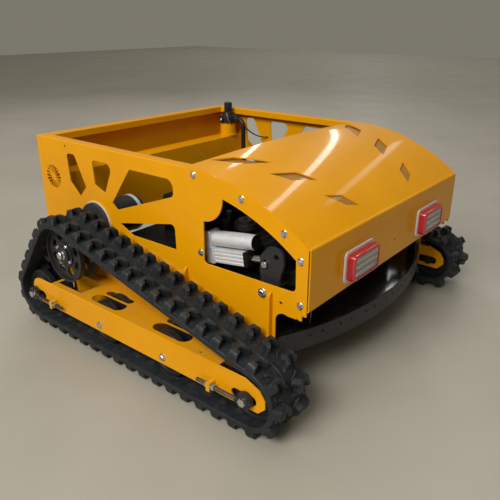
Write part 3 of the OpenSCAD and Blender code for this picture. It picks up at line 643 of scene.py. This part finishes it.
def make_track(side):
    s = -1 if side == "right" else 1
    bm = bmesh.new()
    steps = PITCHES * 8
    profile = band_profile()
    rings = []
    for k in range(steps):
        m = on_band(k * LOOP / steps, s * BELT_OUT, -s)
        rings.append([bm.verts.new(m @ Vector((0, y, h))) for y, h in profile])
    for k in range(steps):
        join_rings(bm, rings[k], rings[(k + 1) % steps])
    lug, guide = lug_mesh(), guide_mesh()
    for k in range(PITCHES):
        stamp(bm, lug, on_band(k * PITCH, s * BELT_OUT, -s))
        stamp(bm, lug, on_band((k + 0.5) * PITCH, s * BELT_IN, s))
        stamp(bm, guide, on_band(k * PITCH, s * BELT_MID, -s))
    # lug corners are worn flush with the ground and with the front of the loop
    for v in bm.verts:
        v.co.z = max(v.co.z, 0.0001)
        v.co.x = min(v.co.x, cad_high.x - 0.0002)
    bpy.data.meshes.remove(lug)
    bpy.data.meshes.remove(guide)
    place(f"track_{side}", to_mesh(bm, f"track_{side}", 34), "chassis", RUBBER,
          (f"track_belt_{side}",))


for side in ("right", "left"):
    make_track(side)


# ---------------------------------------------------------------- body and hood

HALF_W = 0.430
RAIL_Z = 0.566


def rail_fold(e):
    """Outer and inner bends of the top rails."""
    a, b = e.verts[0].co, e.verts[1].co
    m = (a + b) / 2
    along_x = abs(a.x - b.x) > 0.2 and abs(a.z - b.z) < 1e-4
    return along_x and m.z > RAIL_Z - 0.0005 and (abs(m.y) > HALF_W - 0.0005 or abs(m.y) < HALF_W - 0.03)


def cross_fold(e):
    """Bends of the sheets that run across the body."""
    a, b = e.verts[0].co, e.verts[1].co
    m = (a + b) / 2
    across = abs(a.y - b.y) > 0.3
    return across and (abs(m.z - RAIL_Z) < 0.0005 or abs(m.z - 0.462) < 0.0005)


for side in ("right", "left"):
    refine(f"side_plate_{side}", PAINT, 0.7 * MM, 2, rail_fold)
refine("rear_wall", PAINT, 0.7 * MM, 2, cross_fold)
refine("cross_beam", PAINT, 0.7 * MM, 2, cross_fold)
refine("post", PAINT, 1.2 * MM)

HOOD_X, HOOD_R, HOOD_END, HOOD_CROWN = 0.121, 0.611, 0.497, 0.010
FACE_X, FACE_LOW = 0.498, 0.285
HOOD_HALF = HALF_W - 0.0043
VENTS = (((128, -350), (158, -282), (242, -222), (208, -306)),
         ((278, -292), (306, -211), (355, -181), (326, -262)),
         ((400, -226), (418, -166), (459, -140), (444, -190)))


def hood_point(s, y):
    x = HOOD_X + (HOOD_END - HOOD_X) * s
    z = RAIL_Z - HOOD_R + math.sqrt(HOOD_R ** 2 - (x - HOOD_X) ** 2)
    return Vector((x, y, z + HOOD_CROWN * (1 - (y / HALF_W) ** 2) * (1 - s) ** 2))


def make_hood():
    """The curved skin with its rolled front fold, front face and side flanges, and the vents cut through."""
    bm = bmesh.new()
    nx, ny = 60, 48
    roll = 0.006
    rows = []
    for i in range(nx + 1):
        s = i / nx * (1 - roll / (HOOD_END - HOOD_X))
        rows.append([hood_point(s, -HOOD_HALF + 2 * HOOD_HALF * j / ny) for j in range(ny + 1)])
    # the fold rolls over from the curved skin to the upright face
    edge = rows[-1][0]
    low = Vector((FACE_X, 0, edge.z - roll))
    for k in range(1, 6):
        t = k / 5
        q = (1 - t) ** 2 * Vector((edge.x, 0, edge.z)) + 2 * t * (1 - t) * Vector((FACE_X, 0,
                edge.z - 0.0012)) + t * t * low
        rows.append([Vector((q.x, -HOOD_HALF + 2 * HOOD_HALF * j / ny, q.z)) for j in range(ny + 1)])
    for k in range(1, 9):
        z = low.z + (FACE_LOW + 0.003 - low.z) * k / 8
        rows.append([Vector((FACE_X, -HOOD_HALF + 2 * HOOD_HALF * j / ny, z)) for j in range(ny + 1)])
    for k in range(1, 5):
        a = math.pi / 2 * k / 4
        rows.append([Vector((FACE_X - 0.003 + 0.003 * math.cos(a), -HOOD_HALF + 2 * HOOD_HALF * j / ny,
                             FACE_LOW + 0.003 - 0.003 * math.sin(a))) for j in range(ny + 1)])
    rows.append([Vector((FACE_X - 0.026, -HOOD_HALF + 2 * HOOD_HALF * j / ny,
                         FACE_LOW)) for j in range(ny + 1)])
    # outer sheet, then the inner one, 3 mm in
    outer = [[bm.verts.new(p) for p in row] for row in rows]
    bm.verts.ensure_lookup_table()
    for a, b in zip(outer, outer[1:]):
        for j in range(ny):
            bm.faces.new((a[j], a[j + 1], b[j + 1], b[j]))
    bmesh.ops.recalc_face_normals(bm, faces=bm.faces)
    bm.normal_update()
    if sum(f.normal.z for f in bm.faces) < 0:
        bmesh.ops.reverse_faces(bm, faces=bm.faces)
        bm.normal_update()
    shift = {v: v.co - v.normal * 0.003 for row in outer for v in row}
    inner = [[bm.verts.new(shift[v]) for v in row] for row in outer]
    for a, b in zip(inner, inner[1:]):
        for j in range(ny):
            bm.faces.new((a[j], b[j], b[j + 1], a[j + 1]))
    for o, n in ((outer[0], inner[0]), (outer[-1], inner[-1])):
        for j in range(ny):
            bm.faces.new((o[j], n[j], n[j + 1], o[j + 1]))
    for c in (0, ny):
        for i in range(len(outer) - 1):
            bm.faces.new((outer[i][c], outer[i + 1][c], inner[i + 1][c], inner[i][c]))
    skin = bpy.data.objects.new("hood_raw", to_mesh(bm, "hood_raw", 30))
    scene.collection.objects.link(skin)
    # cutters: the vents and the hole in the face
    bm = bmesh.new()
    for s in (-1, 1):
        for v in VENTS:
            prism(bm, [(x * MM, y * MM * s) for x, y in v], 0.30, 0.62, Matrix.Identity(4))
    lathe(bm, [(-0.01, 0), (-0.01, 0.005), (0.02, 0.005), (0.02, 0)],
          axis_matrix((0.49, 0, 0.337), (1, 0, 0)), 28)
    cutter = bpy.data.objects.new("hood_cut", to_mesh(bm, "hood_cut"))
    scene.collection.objects.link(cutter)
    m = skin.modifiers.new("cut", "BOOLEAN")
    m.operation, m.solver, m.object = "DIFFERENCE", "EXACT", cutter
    mesh = bpy.data.meshes.new_from_object(skin.evaluated_get(bpy.context.evaluated_depsgraph_get()))
    bpy.data.objects.remove(skin)
    bpy.data.objects.remove(cutter)
    # side flanges that the hood bolts go through
    bm = bmesh.new()
    bm.from_mesh(mesh)
    bpy.data.meshes.remove(mesh)
    bmesh.ops.remove_doubles(bm, verts=bm.verts, dist=1e-6)
    for s in (-1, 1):
        n = 44
        ring = []
        for k in range(n + 1):
            t = k / n * 0.965
            top = hood_point(t, s * HOOD_HALF)
            inward = (Vector((HOOD_X, 0, RAIL_Z - HOOD_R)) - Vector((top.x, 0, top.z))).normalized()
            a = Vector((top.x, s * (HOOD_HALF - 0.0001), top.z)) + inward * 0.0028
            b = a + inward * 0.036
            off = Vector((0, -s * 0.003, 0))
            ring.append([bm.verts.new(p) for p in (a, b, b + off, a + off)])
        for p, q in zip(ring, ring[1:]):
            join_rings(bm, p, q)
        bm.faces.new(list(reversed(ring[0])))
        bm.faces.new(ring[-1])
    mesh = to_mesh(bm, "hood", 30)
    return weigh(place("hood_sheet", mesh, "chassis", PAINT, ("hood",)))


make_hood()
# the vent pockets wear the darkened paint, a painted shade
refine("vent_pockets", VENT_PAINTED_SHADE, 0.4 * MM, 1)

BOLT_SPOTS = ((0.151, 0.551), (0.304, 0.519), (0.427, 0.463), (0.474, 0.408), (0.477, 0.299))
OUT_RIGHT = (0, -1, 0)
bolts("hood_bolts", ZINC, [((x, -HALF_W - 0.00002, z), OUT_RIGHT, 0.0125) for x, z in BOLT_SPOTS], both=True,
      tall=0.5, shank=(0.004, 0.010))
bolts("pivot_bolts", ZINC, [((PIVOT_X, -SIDE_FACE, PIVOT_Z), OUT_RIGHT, 0.0165),
                            ((PIVOT_X, SIDE_FACE, PIVOT_Z), (0, 1, 0), 0.0165),
                            ((0.168, -SIDE_FACE, 0.350), OUT_RIGHT, 0.0125)], tall=0.42, flange=1.5)


# ---------------------------------------------------------------- lamps

LAMP_Y, LAMP_Z = 0.208, 0.345


def round_rect(w, h, r, n=6):
    pts = []
    for cx, cy, a0 in ((w / 2 - r, h / 2 - r, 0), (-w / 2 + r, h / 2 - r, 90), (-w / 2 + r, -h / 2 + r, 180),
                       (w / 2 - r, -h / 2 + r, 270)):
        pts += [(cx + r * math.cos(math.radians(a0 + 90 * k / n)),
                 cy + r * math.sin(math.radians(a0 + 90 * k / n)))
                for k in range(n + 1)]
    return pts


def lamp_frame(s):
    """Local X across, Y up, Z out of the front face."""
    return Matrix(((0, 0, 1, FACE_X), (s, 0, 0, s * LAMP_Y), (0, 1, 0, LAMP_Z), (0, 0, 0, 1)))


def make_lamp(side, s):
    m = lamp_frame(s)
    # pale base with a stepped, rolled rim
    bm = bmesh.new()
    loft(bm, [(round_rect(0.142, 0.080, 0.012), 0.0002), (round_rect(0.146, 0.084, 0.014), 0.0016),
              (round_rect(0.146, 0.084, 0.014), 0.0040), (round_rect(0.1445, 0.0825, 0.0132), 0.0054),
              (round_rect(0.141, 0.079, 0.0115), 0.0060)], m)
    place(f"lamp_base_{side}_rim", to_mesh(bm, "lamp_base", 40), "chassis", WHITE,
          (f"lamp_base_{side}",))
    # red housing: sloped sides, a thick rolled front edge and a sunk window
    bm = bmesh.new()
    outer = [((0.1300, 0.0700, 0.0110), 0.0061), ((0.1300, 0.0700, 0.0110), 0.0100),
             ((0.1285, 0.0685, 0.0105), 0.0200),
             ((0.1268, 0.0668, 0.0100), 0.0258), ((0.1240, 0.0640, 0.0090), 0.0276),
             ((0.1205, 0.0605, 0.0080), 0.0280),
             ((0.1150, 0.0550, 0.0060), 0.0276), ((0.1118, 0.0518, 0.0050), 0.0262),
             ((0.1118, 0.0518, 0.0050), 0.0135)]
    rings = [[bm.verts.new(m @ Vector((x, y, z))) for x, y in round_rect(w, h, r)] for (w, h, r), z in outer]
    for a, b in zip(rings, rings[1:]):
        join_rings(bm, a, b)
    bm.faces.new(list(reversed(rings[0])))
    bm.faces.new(rings[-1])
    # two screw heads on the long sides
    for x in (-0.0605, 0.0605):
        lathe(bm, [(0.026, 0), (0.026, 0.0022), (0.0279, 0.0022), (0.0284, 0.0014), (0.0284, 0)],
              m @ Matrix.Translation((x, 0, 0)), 16)
    place(f"lamp_shell_{side}_red", to_mesh(bm, "lamp_shell", 40), "chassis", RED,
          (f"lamp_shell_{side}",))
    # reflector chambers under the lens: three rows of trays on a backing plate
    bm = bmesh.new()
    loft(bm, [(round_rect(0.1112, 0.0512, 0.0045), 0.0140), (round_rect(0.1112, 0.0512, 0.0045), 0.0152)], m)
    for y0, y1 in ((-0.0245, -0.0095), (-0.0070, 0.0085), (0.0110, 0.0245)):
        for i in range(9):
            x0 = -0.054 + 0.012 * i
            loft(bm, [([(x0 + 0.0004, y0), (x0 + 0.0116, y0), (x0 + 0.0116, y1), (x0 + 0.0004, y1)], 0.0150),
                      ([(x0 + 0.0040, y0 + 0.004), (x0 + 0.0080, y0 + 0.004), (x0 + 0.0080, y1 - 0.004),
                        (x0 + 0.0040, y1 - 0.004)], 0.0196)], m)
    place(f"lamp_trays_{side}", to_mesh(bm, "lamp_trays", 25), "chassis", REFLECTOR)
    # ribbed lens: fine upright flutes
    bm = bmesh.new()
    n = 56
    for y0, y1 in ((-0.0254, -0.0090), (-0.0084, 0.0084), (0.0090, 0.0254)):
        low, top = [], []
        for i in range(n + 1):
            x = -0.0555 + 0.111 * i / n
            h = 0.0255 + (0.0007 if i % 2 else 0.0)
            low.append([bm.verts.new(m @ Vector((x, y, 0.0205))) for y in (y0, y1)])
            top.append([bm.verts.new(m @ Vector((x, y, h))) for y in (y0 + 0.0008, y1 - 0.0008)])
        for i in range(n):
            bm.faces.new((top[i][0], top[i + 1][0], top[i + 1][1], top[i][1]))
            bm.faces.new((low[i][0], low[i][1], low[i + 1][1], low[i + 1][0]))
            bm.faces.new((low[i][0], low[i + 1][0], top[i + 1][0], top[i][0]))
            bm.faces.new((low[i][1], top[i][1], top[i + 1][1], low[i + 1][1]))
        for i in (0, n):
            bm.faces.new((low[i][0], top[i][0], top[i][1], low[i][1]))
    place(f"lamp_lens_{side}_ribbed", to_mesh(bm, "lamp_lens", 15), "chassis", LENS,
          (f"lamp_lens_{side}",))


REFLECTOR = metal("lamp_reflector", (0.62, 0.60, 0.58), 0.28, (1, 1, 1), (0.35, 0.34, 0.34), 0.3)
LENS = clear_plastic("lamp_lens", (0.86, 0.84, 0.83), 0.14, 0.85)
for side, s in (("right", -1), ("left", 1)):
    make_lamp(side, s)


# ---------------------------------------------------------------- post, fitting and leads

POST_X, POST_Y = -0.436, 0.371


def make_fitting():
    """Black clamp ring, tapered neck and ribbed cap on the post."""
    m = Matrix.Translation((POST_X, POST_Y, 0.512))
    bm = bmesh.new()
    lathe(bm, [(0.0002, 0), (0.0002, 0.0350), (0.0020, 0.0370), (0.0090, 0.0370), (0.0100, 0.0355),
               (0.0130, 0.0355),
               (0.0140, 0.0370), (0.0275, 0.0370), (0.0300, 0.0345), (0.0310, 0.0250), (0.0330, 0.0238),
               (0.0400, 0.0236), (0.0425, 0.0215), (0.0440, 0.0160), (0.0440, 0)], m, 56)
    # cap with grip ribs
    n = 28
    layers = []
    for z, r, deep in ((0.0430, 0.0150, 0), (0.0450, 0.0158, 0.0008), (0.0740, 0.0158, 0.0008),
                       (0.0770, 0.0150, 0.0002),
                       (0.0790, 0.0132, 0), (0.0800, 0.0100, 0)):
        pts = []
        for i in range(2 * n):
            q = r - (deep if i % 2 else 0)
            a = math.pi * i / n
            pts.append((q * math.cos(a), q * math.sin(a)))
        layers.append((pts, z))
    loft(bm, layers, m)
    # outlet for the conduit
    lathe(bm, [(0.015, 0), (0.015, 0.0105), (0.040, 0.0105), (0.042, 0.0125), (0.0520, 0.0125),
               (0.0535, 0.0115),
               (0.0535, 0)], Matrix.Translation((POST_X, POST_Y, 0.528)) @ Matrix.Rotation(math.pi / 2, 4,
                                                                                           "Y"), 32)
    # clamp ears and their screw
    block(bm, (-0.006, -0.046, 0.006), (0.006, -0.034, 0.024), m)
    place("post_fitting_black", to_mesh(bm, "post_fitting", 30), "chassis", BLACK,
          ("post_fitting",))
    bm = bmesh.new()
    # bright strap over the clamp's front
    hose(bm, smooth_path([(POST_X + 0.020, POST_Y - 0.0330, 0.5530),
                          (POST_X + 0.026, POST_Y - 0.0345, 0.5400),
                          (POST_X + 0.030, POST_Y - 0.0300, 0.5240),
                          (POST_X + 0.034, POST_Y - 0.0240, 0.5120)], 5),
         0.0022, 8)
    hex_bolt(bm, (POST_X, POST_Y - 0.0462, 0.527), (0, -1, 0), 0.008, tall=0.4)
    place("post_strap", to_mesh(bm, "post_strap", 30), "chassis", ZINC)


make_fitting()


def make_leads():
    """The conduit bends down into the body; the thin lead sags from it to the left side plate."""
    x0 = POST_X + 0.054
    path = [(x0 + 0.0013, POST_Y, 0.528)]
    path += [(x0 + 0.026 * math.sin(math.radians(a)), POST_Y, 0.502 + 0.026 * math.cos(math.radians(a)))
             for a in range(10, 91, 8)]
    path += [(POST_X + 0.0805, POST_Y, 0.440), (POST_X + 0.082, POST_Y, 0.370),
             (POST_X + 0.084, POST_Y, 0.300)]
    bm = bmesh.new()
    hose(bm, path, 0.0089, 24)
    # coupling ring where it leaves the fitting and a cable tie further down
    for at, r, half in (((POST_X + 0.0803, POST_Y, 0.476), 0.0103, 0.0022),
                        ((POST_X + 0.0812, POST_Y, 0.405), 0.0103, 0.0022)):
        lathe(bm, [(-half, 0), (-half, r - 0.0008), (-half + 0.0008, r), (half - 0.0008, r),
                   (half, r - 0.0008), (half, 0)],
              axis_matrix(at, (0, 0, 1)), 24)
    place("conduit_tube", to_mesh(bm, "conduit", 40), "chassis", CORD, ("conduit",))
    xa, xb = POST_X + 0.091, -0.270
    pts = []
    for i in range(25):
        t = i / 24
        pts.append((xa + (xb - xa) * t, POST_Y + (HALF_W - 0.0075 - POST_Y) * t,
                    0.500 - 0.036 * t - 0.052 * t * (1 - t)))
    bm = bmesh.new()
    hose(bm, pts, 0.0024, 12)
    place("sensor_lead_wire", to_mesh(bm, "sensor_lead", 40), "chassis", CORD,
          ("sensor_lead",))


make_leads()


# ---------------------------------------------------------------- parts inside the body

def make_power_unit():
    """Black block behind the windows, with cover ribs on its side and top."""
    bm = cad_bmesh("power_unit")
    soften(bm, 6 * MM, 3)
    for i in range(7):
        z = 0.225 + 0.030 * i
        block(bm, (-0.010, -0.3852, z), (0.130, -0.3842, z + 0.012))
    for i in range(6):
        x = 0.150 + 0.030 * i
        block(bm, (x, -0.348, 0.3775), (x + 0.012, 0.348, 0.3795))
    place("power_unit_cover", to_mesh(bm, "power_unit", 30), "chassis", MATT,
          ("power_unit",))


make_power_unit()


def make_cap():
    m = Matrix.Translation((0.216, -0.308, 0.37802))
    bm = bmesh.new()
    lathe(bm, [(0, 0), (0, 0.0180), (0.002, 0.0200), (0.014, 0.0200), (0.0152, 0.0240), (0.0160, 0.0295),
               (0.0175, 0.0308),
               (0.0300, 0.0310), (0.0325, 0.0295), (0.0335, 0.0270), (0.0325, 0.0250), (0.0330, 0.0238),
               (0.0380, 0.0232),
               (0.0405, 0.0200), (0.0410, 0.0090), (0.0418, 0.0056), (0.0440, 0.0046), (0.0448, 0.0030),
               (0.0448, 0)],
          m, 56)
    n = 18
    for i in range(n):
        a = math.tau * i / n
        lathe(bm, [(0.0190, 0), (0.0190, 0.0016), (0.0285, 0.0016), (0.0285, 0)],
              m @ Matrix.Translation((0.0303 * math.cos(a), 0.0303 * math.sin(a), 0)), 8)
    place("pulley_cap_turned", to_mesh(bm, "pulley_cap", 28), "chassis", CAST, ("pulley_cap",))


make_cap()
refine("cap_bracket", CAST, 0.7 * MM)


# ---------------------------------------------------------------- track frames and running gear

def frame_fold(e):
    """Long bends along the top of the track frame."""
    a, b = e.verts[0].co, e.verts[1].co
    return abs(a.x - b.x) > 0.12 and (a.z + b.z) / 2 > 0.1565 and (abs(a.y) > 0.5685 or abs(a.y) < 0.4625)


for side in ("right", "left"):
    refine(f"track_frame_{side}", PAINT, 0.7 * MM, 2, frame_fold, 3.2 * MM)
refine("frame_arms", PAINT, 0.7 * MM)
refine("tension_lugs", ZINC, 0.8 * MM)
refine("drive_cases", CAST, 1.6 * MM)
refine("drive_motors", BLACK, 2.0 * MM, 3)
refine("motor_bands", ALU, 0.6 * MM)
for side in ("right", "left"):
    refine(f"sprocket_{side}", BLACK, 0.8 * MM)
    for end in ("front", "rear"):
        refine(f"idler_{end}_{side}", BLACK, 1.8 * MM, 3)
        refine(f"roller_{end}_{side}", BLACK, 1.8 * MM, 3)
        refine(f"tension_rod_{end}_{side}", STEEL, 0.9 * MM)


def repaint(name, extra, choose):
    """Gives the faces that choose() names another material."""
    mesh = bpy.data.objects[name].data
    for mat in extra:
        mesh.materials.append(mat)
    for face in mesh.polygons:
        face.material_index = choose(face.center)


# black eye, bright axle head; painted lugs with bright nuts
HEAD_R, EYE_R, HEAD_Y = 0.0125, 0.0215, 0.5832


def rod_part(c, x):
    """0 for the rod, 1 for its eye, 2 for the axle head in the eye."""
    off = math.hypot(c.x - x, c.z - AXLE_Z)
    return 2 if abs(c.y) > HEAD_Y and off < HEAD_R else int(off < EYE_R)


def lug_plate(c):
    """1 on the painted plate of a lug, 0 on its nuts."""
    near = min(abs(c.x - FRONT_LUG_X), abs(c.x - REAR_LUG_X)) < 0.0061
    return int(near and math.hypot(abs(c.y) - BELT_OUT, c.z - LUG_Z) > 0.0085)


for end, x in (("front", FRONT_X), ("rear", REAR_X)):
    for side in ("right", "left"):
        repaint(f"tension_rod_{end}_{side}_skin", (BLACK, ZINC), lambda c, x=x: rod_part(c, x))
repaint("tension_lugs_skin", (PAINT,), lug_plate)

FRAME_OUT, FRAME_IN = 0.569, 0.462
ROLLERS = (-0.105, 0.154)


def make_roller_bolts():
    bm = bmesh.new()
    for s in (-1, 1):
        for x in ROLLERS:
            hex_bolt(bm, (x, s * (FRAME_OUT + 0.00002), 0.100), (0, s, 0), 0.0150, tall=0.46, turn=0.2 + x)
            lathe(bm, [(0, 0), (0, 0.008), (FRAME_OUT - FRAME_IN + 0.006, 0.008),
                       (FRAME_OUT - FRAME_IN + 0.006, 0)],
                  axis_matrix((x, s * FRAME_OUT, 0.100), (0, -s, 0)), 24)
            hex_bolt(bm, (x, s * (FRAME_IN - 0.0005), 0.100), (0, -s, 0), 0.0150, tall=0.38, turn=0.4)
    place("roller_bolts_detailed", to_mesh(bm, "roller_bolts", 26), "chassis", ZINC,
          ("roller_bolts",))


make_roller_bolts()

for side, s in (("right", -1), ("left", 1)):
    spots = [((WHEELS[0][0], s * (BELT_MID + 0.03802), WHEELS[0][1]), (0, s, 0), 0.021)]
    for i in range(4):
        a = math.radians(i * 90 + 30)
        spots.append(((WHEELS[0][0] + 0.032 * math.cos(a), s * (BELT_MID + 0.03202),
                       WHEELS[0][1] - 0.032 * math.sin(a)),
                      (0, s, 0), 0.0085))
    bolts(f"sprocket_bolts_{side}", ZINC, spots, tall=0.55, flange=1.3)


# ---------------------------------------------------------------- actuator and deck lift

refine("actuator_housing", CAST_ALU, 1.8 * MM, 3)
refine("actuator_tube", ALU, 0.7 * MM)
refine("actuator_end_caps", MATT, 1.0 * MM)
refine("actuator_rod", CHROME, 0.8 * MM)
refine("rod_pin", ZINC, 0.9 * MM, 3)
refine("lever", LEVER, 0.9 * MM)
refine("lift_shaft", CAST, 0.9 * MM)

ACT_AT = Vector((0.166, -0.385, 0.334))
ACT = Matrix.Translation(ACT_AT) @ Matrix.Rotation(-math.radians(8.4), 4, "Y")
# local Z along the actuator, X down, Y across


def make_motor():
    """Turned can with a rolled end seam and two clamp grooves."""
    bm = bmesh.new()
    m = ACT @ Matrix.Translation((0, 0, 0.043)) @ Matrix(((0, 0, 1, 0), (0, 1, 0, 0), (-1, 0, 0, 0),
                                                          (0, 0, 0, 1)))
    lathe(bm, [(0.01802, 0), (0.01802, 0.0188), (0.0195, 0.0200), (0.0240, 0.0200), (0.0246, 0.0195),
               (0.0256, 0.0195),
               (0.0262, 0.0200), (0.1250, 0.0200), (0.1256, 0.0195), (0.1268, 0.0195), (0.1275, 0.0200),
               (0.1312, 0.0200),
               (0.1319, 0.0194), (0.1319, 0)], m, 56)
    place("actuator_motor_can", to_mesh(bm, "actuator_motor", 30), "chassis", ALU,
          ("actuator_motor",))


make_motor()

# the motor can's far end is bright too; only its flat face is dark
def bright_end(c):
    at = ACT.inverted() @ c
    return int(0.125 < at.x < 0.1552 and math.hypot(at.y, at.z - 0.043) > 0.0175 and at.z > 0.021)


repaint("actuator_end_caps_skin", (ALU,), bright_end)


# ---------------------------------------------------------------- deck

refine("deck_pan", GLOSSY, 1.2 * MM)
refine("deck_skirt", LEVER, 0.7 * MM)


# ---------------------------------------------------------------- stage

def make_stage():
    bm = bmesh.new()
    corners = [bm.verts.new(p) for p in ((-14, -14, 0), (14, -14, 0), (14, 14, 0), (-14, 14, 0))]
    bm.faces.new(corners)
    floor = bpy.data.objects.new("floor", to_mesh(bm, "floor"))
    scene.collection.objects.link(floor)
    s = Shader("floor")
    s.color(s.mix(s.ramp(s.noise(1.4, 5, 0.6), 0.3, 0.7), (0.385, 0.36, 0.295), (0.45, 0.42, 0.35)))
    s.rough(s.ramp(s.noise(3.0, 4), 0.3, 0.7, 0.36, 0.50))
    floor.data.materials.append(s.mat)
    world = bpy.data.worlds.new("studio")
    scene.world = world
    world.use_nodes = True
    back = world.node_tree.nodes["Background"]
    back.inputs["Color"].default_value = (0.90, 0.85, 0.70, 1)
    back.inputs["Strength"].default_value = 0.22


def area(name, at, aim, size, power, tint=(1, 1, 1)):
    data = bpy.data.lights.new(name, "AREA")
    data.shape = "RECTANGLE"
    data.size, data.size_y = size
    data.energy = power
    data.color = tint
    obj = bpy.data.objects.new(name, data)
    scene.collection.objects.link(obj)
    obj.location = at
    obj.rotation_mode = "QUATERNION"
    obj.rotation_quaternion = (Vector(aim) - Vector(at)).to_track_quat("-Z", "Y")
    obj.visible_camera = False
    return obj


def strip(name, start, end, width, glow):
    """A long ceiling lamp between two points, seen as a bright line in gloss surfaces."""
    a, b = Vector(start), Vector(end)
    length = (b - a).length
    lamp = area(name, (a + b) / 2, (a + b) / 2 - Vector((0, 0, 1)), (length, width),
                glow * math.pi * length * width)
    lamp.rotation_mode = "XYZ"
    lamp.rotation_euler = (0, 0, math.atan2(b.y - a.y, b.x - a.x))


make_stage()
area("key", (0.6, -4.4, 4.0), (0, 0, 0.3), (3.4, 2.2), 280, (1.0, 0.98, 0.95))
area("top", (-0.4, 0.3, 5.0), (-0.2, 0.1, 0.3), (4.5, 4.5), 60, (0.97, 0.98, 1.0)).visible_glossy = False
area("back", (-3.6, 2.8, 3.0), (0, 0, 0.3), (2.5, 2.0), 40, (0.95, 0.97, 1.0)).visible_glossy = False
strip("ceiling_1", (-6.2, 8.3, 6), (-11.0, 14.4, 6), 0.30, 8.5)
strip("ceiling_2", (-0.5, 5.8, 6), (-10.4, 19.6, 6), 0.28, 9)
strip("ceiling_3", (0.6, 7.6, 6), (-2.4, 12.9, 6), 0.34, 2.6)
scene.view_settings.view_transform = "Standard"
scene.view_settings.look = "None"
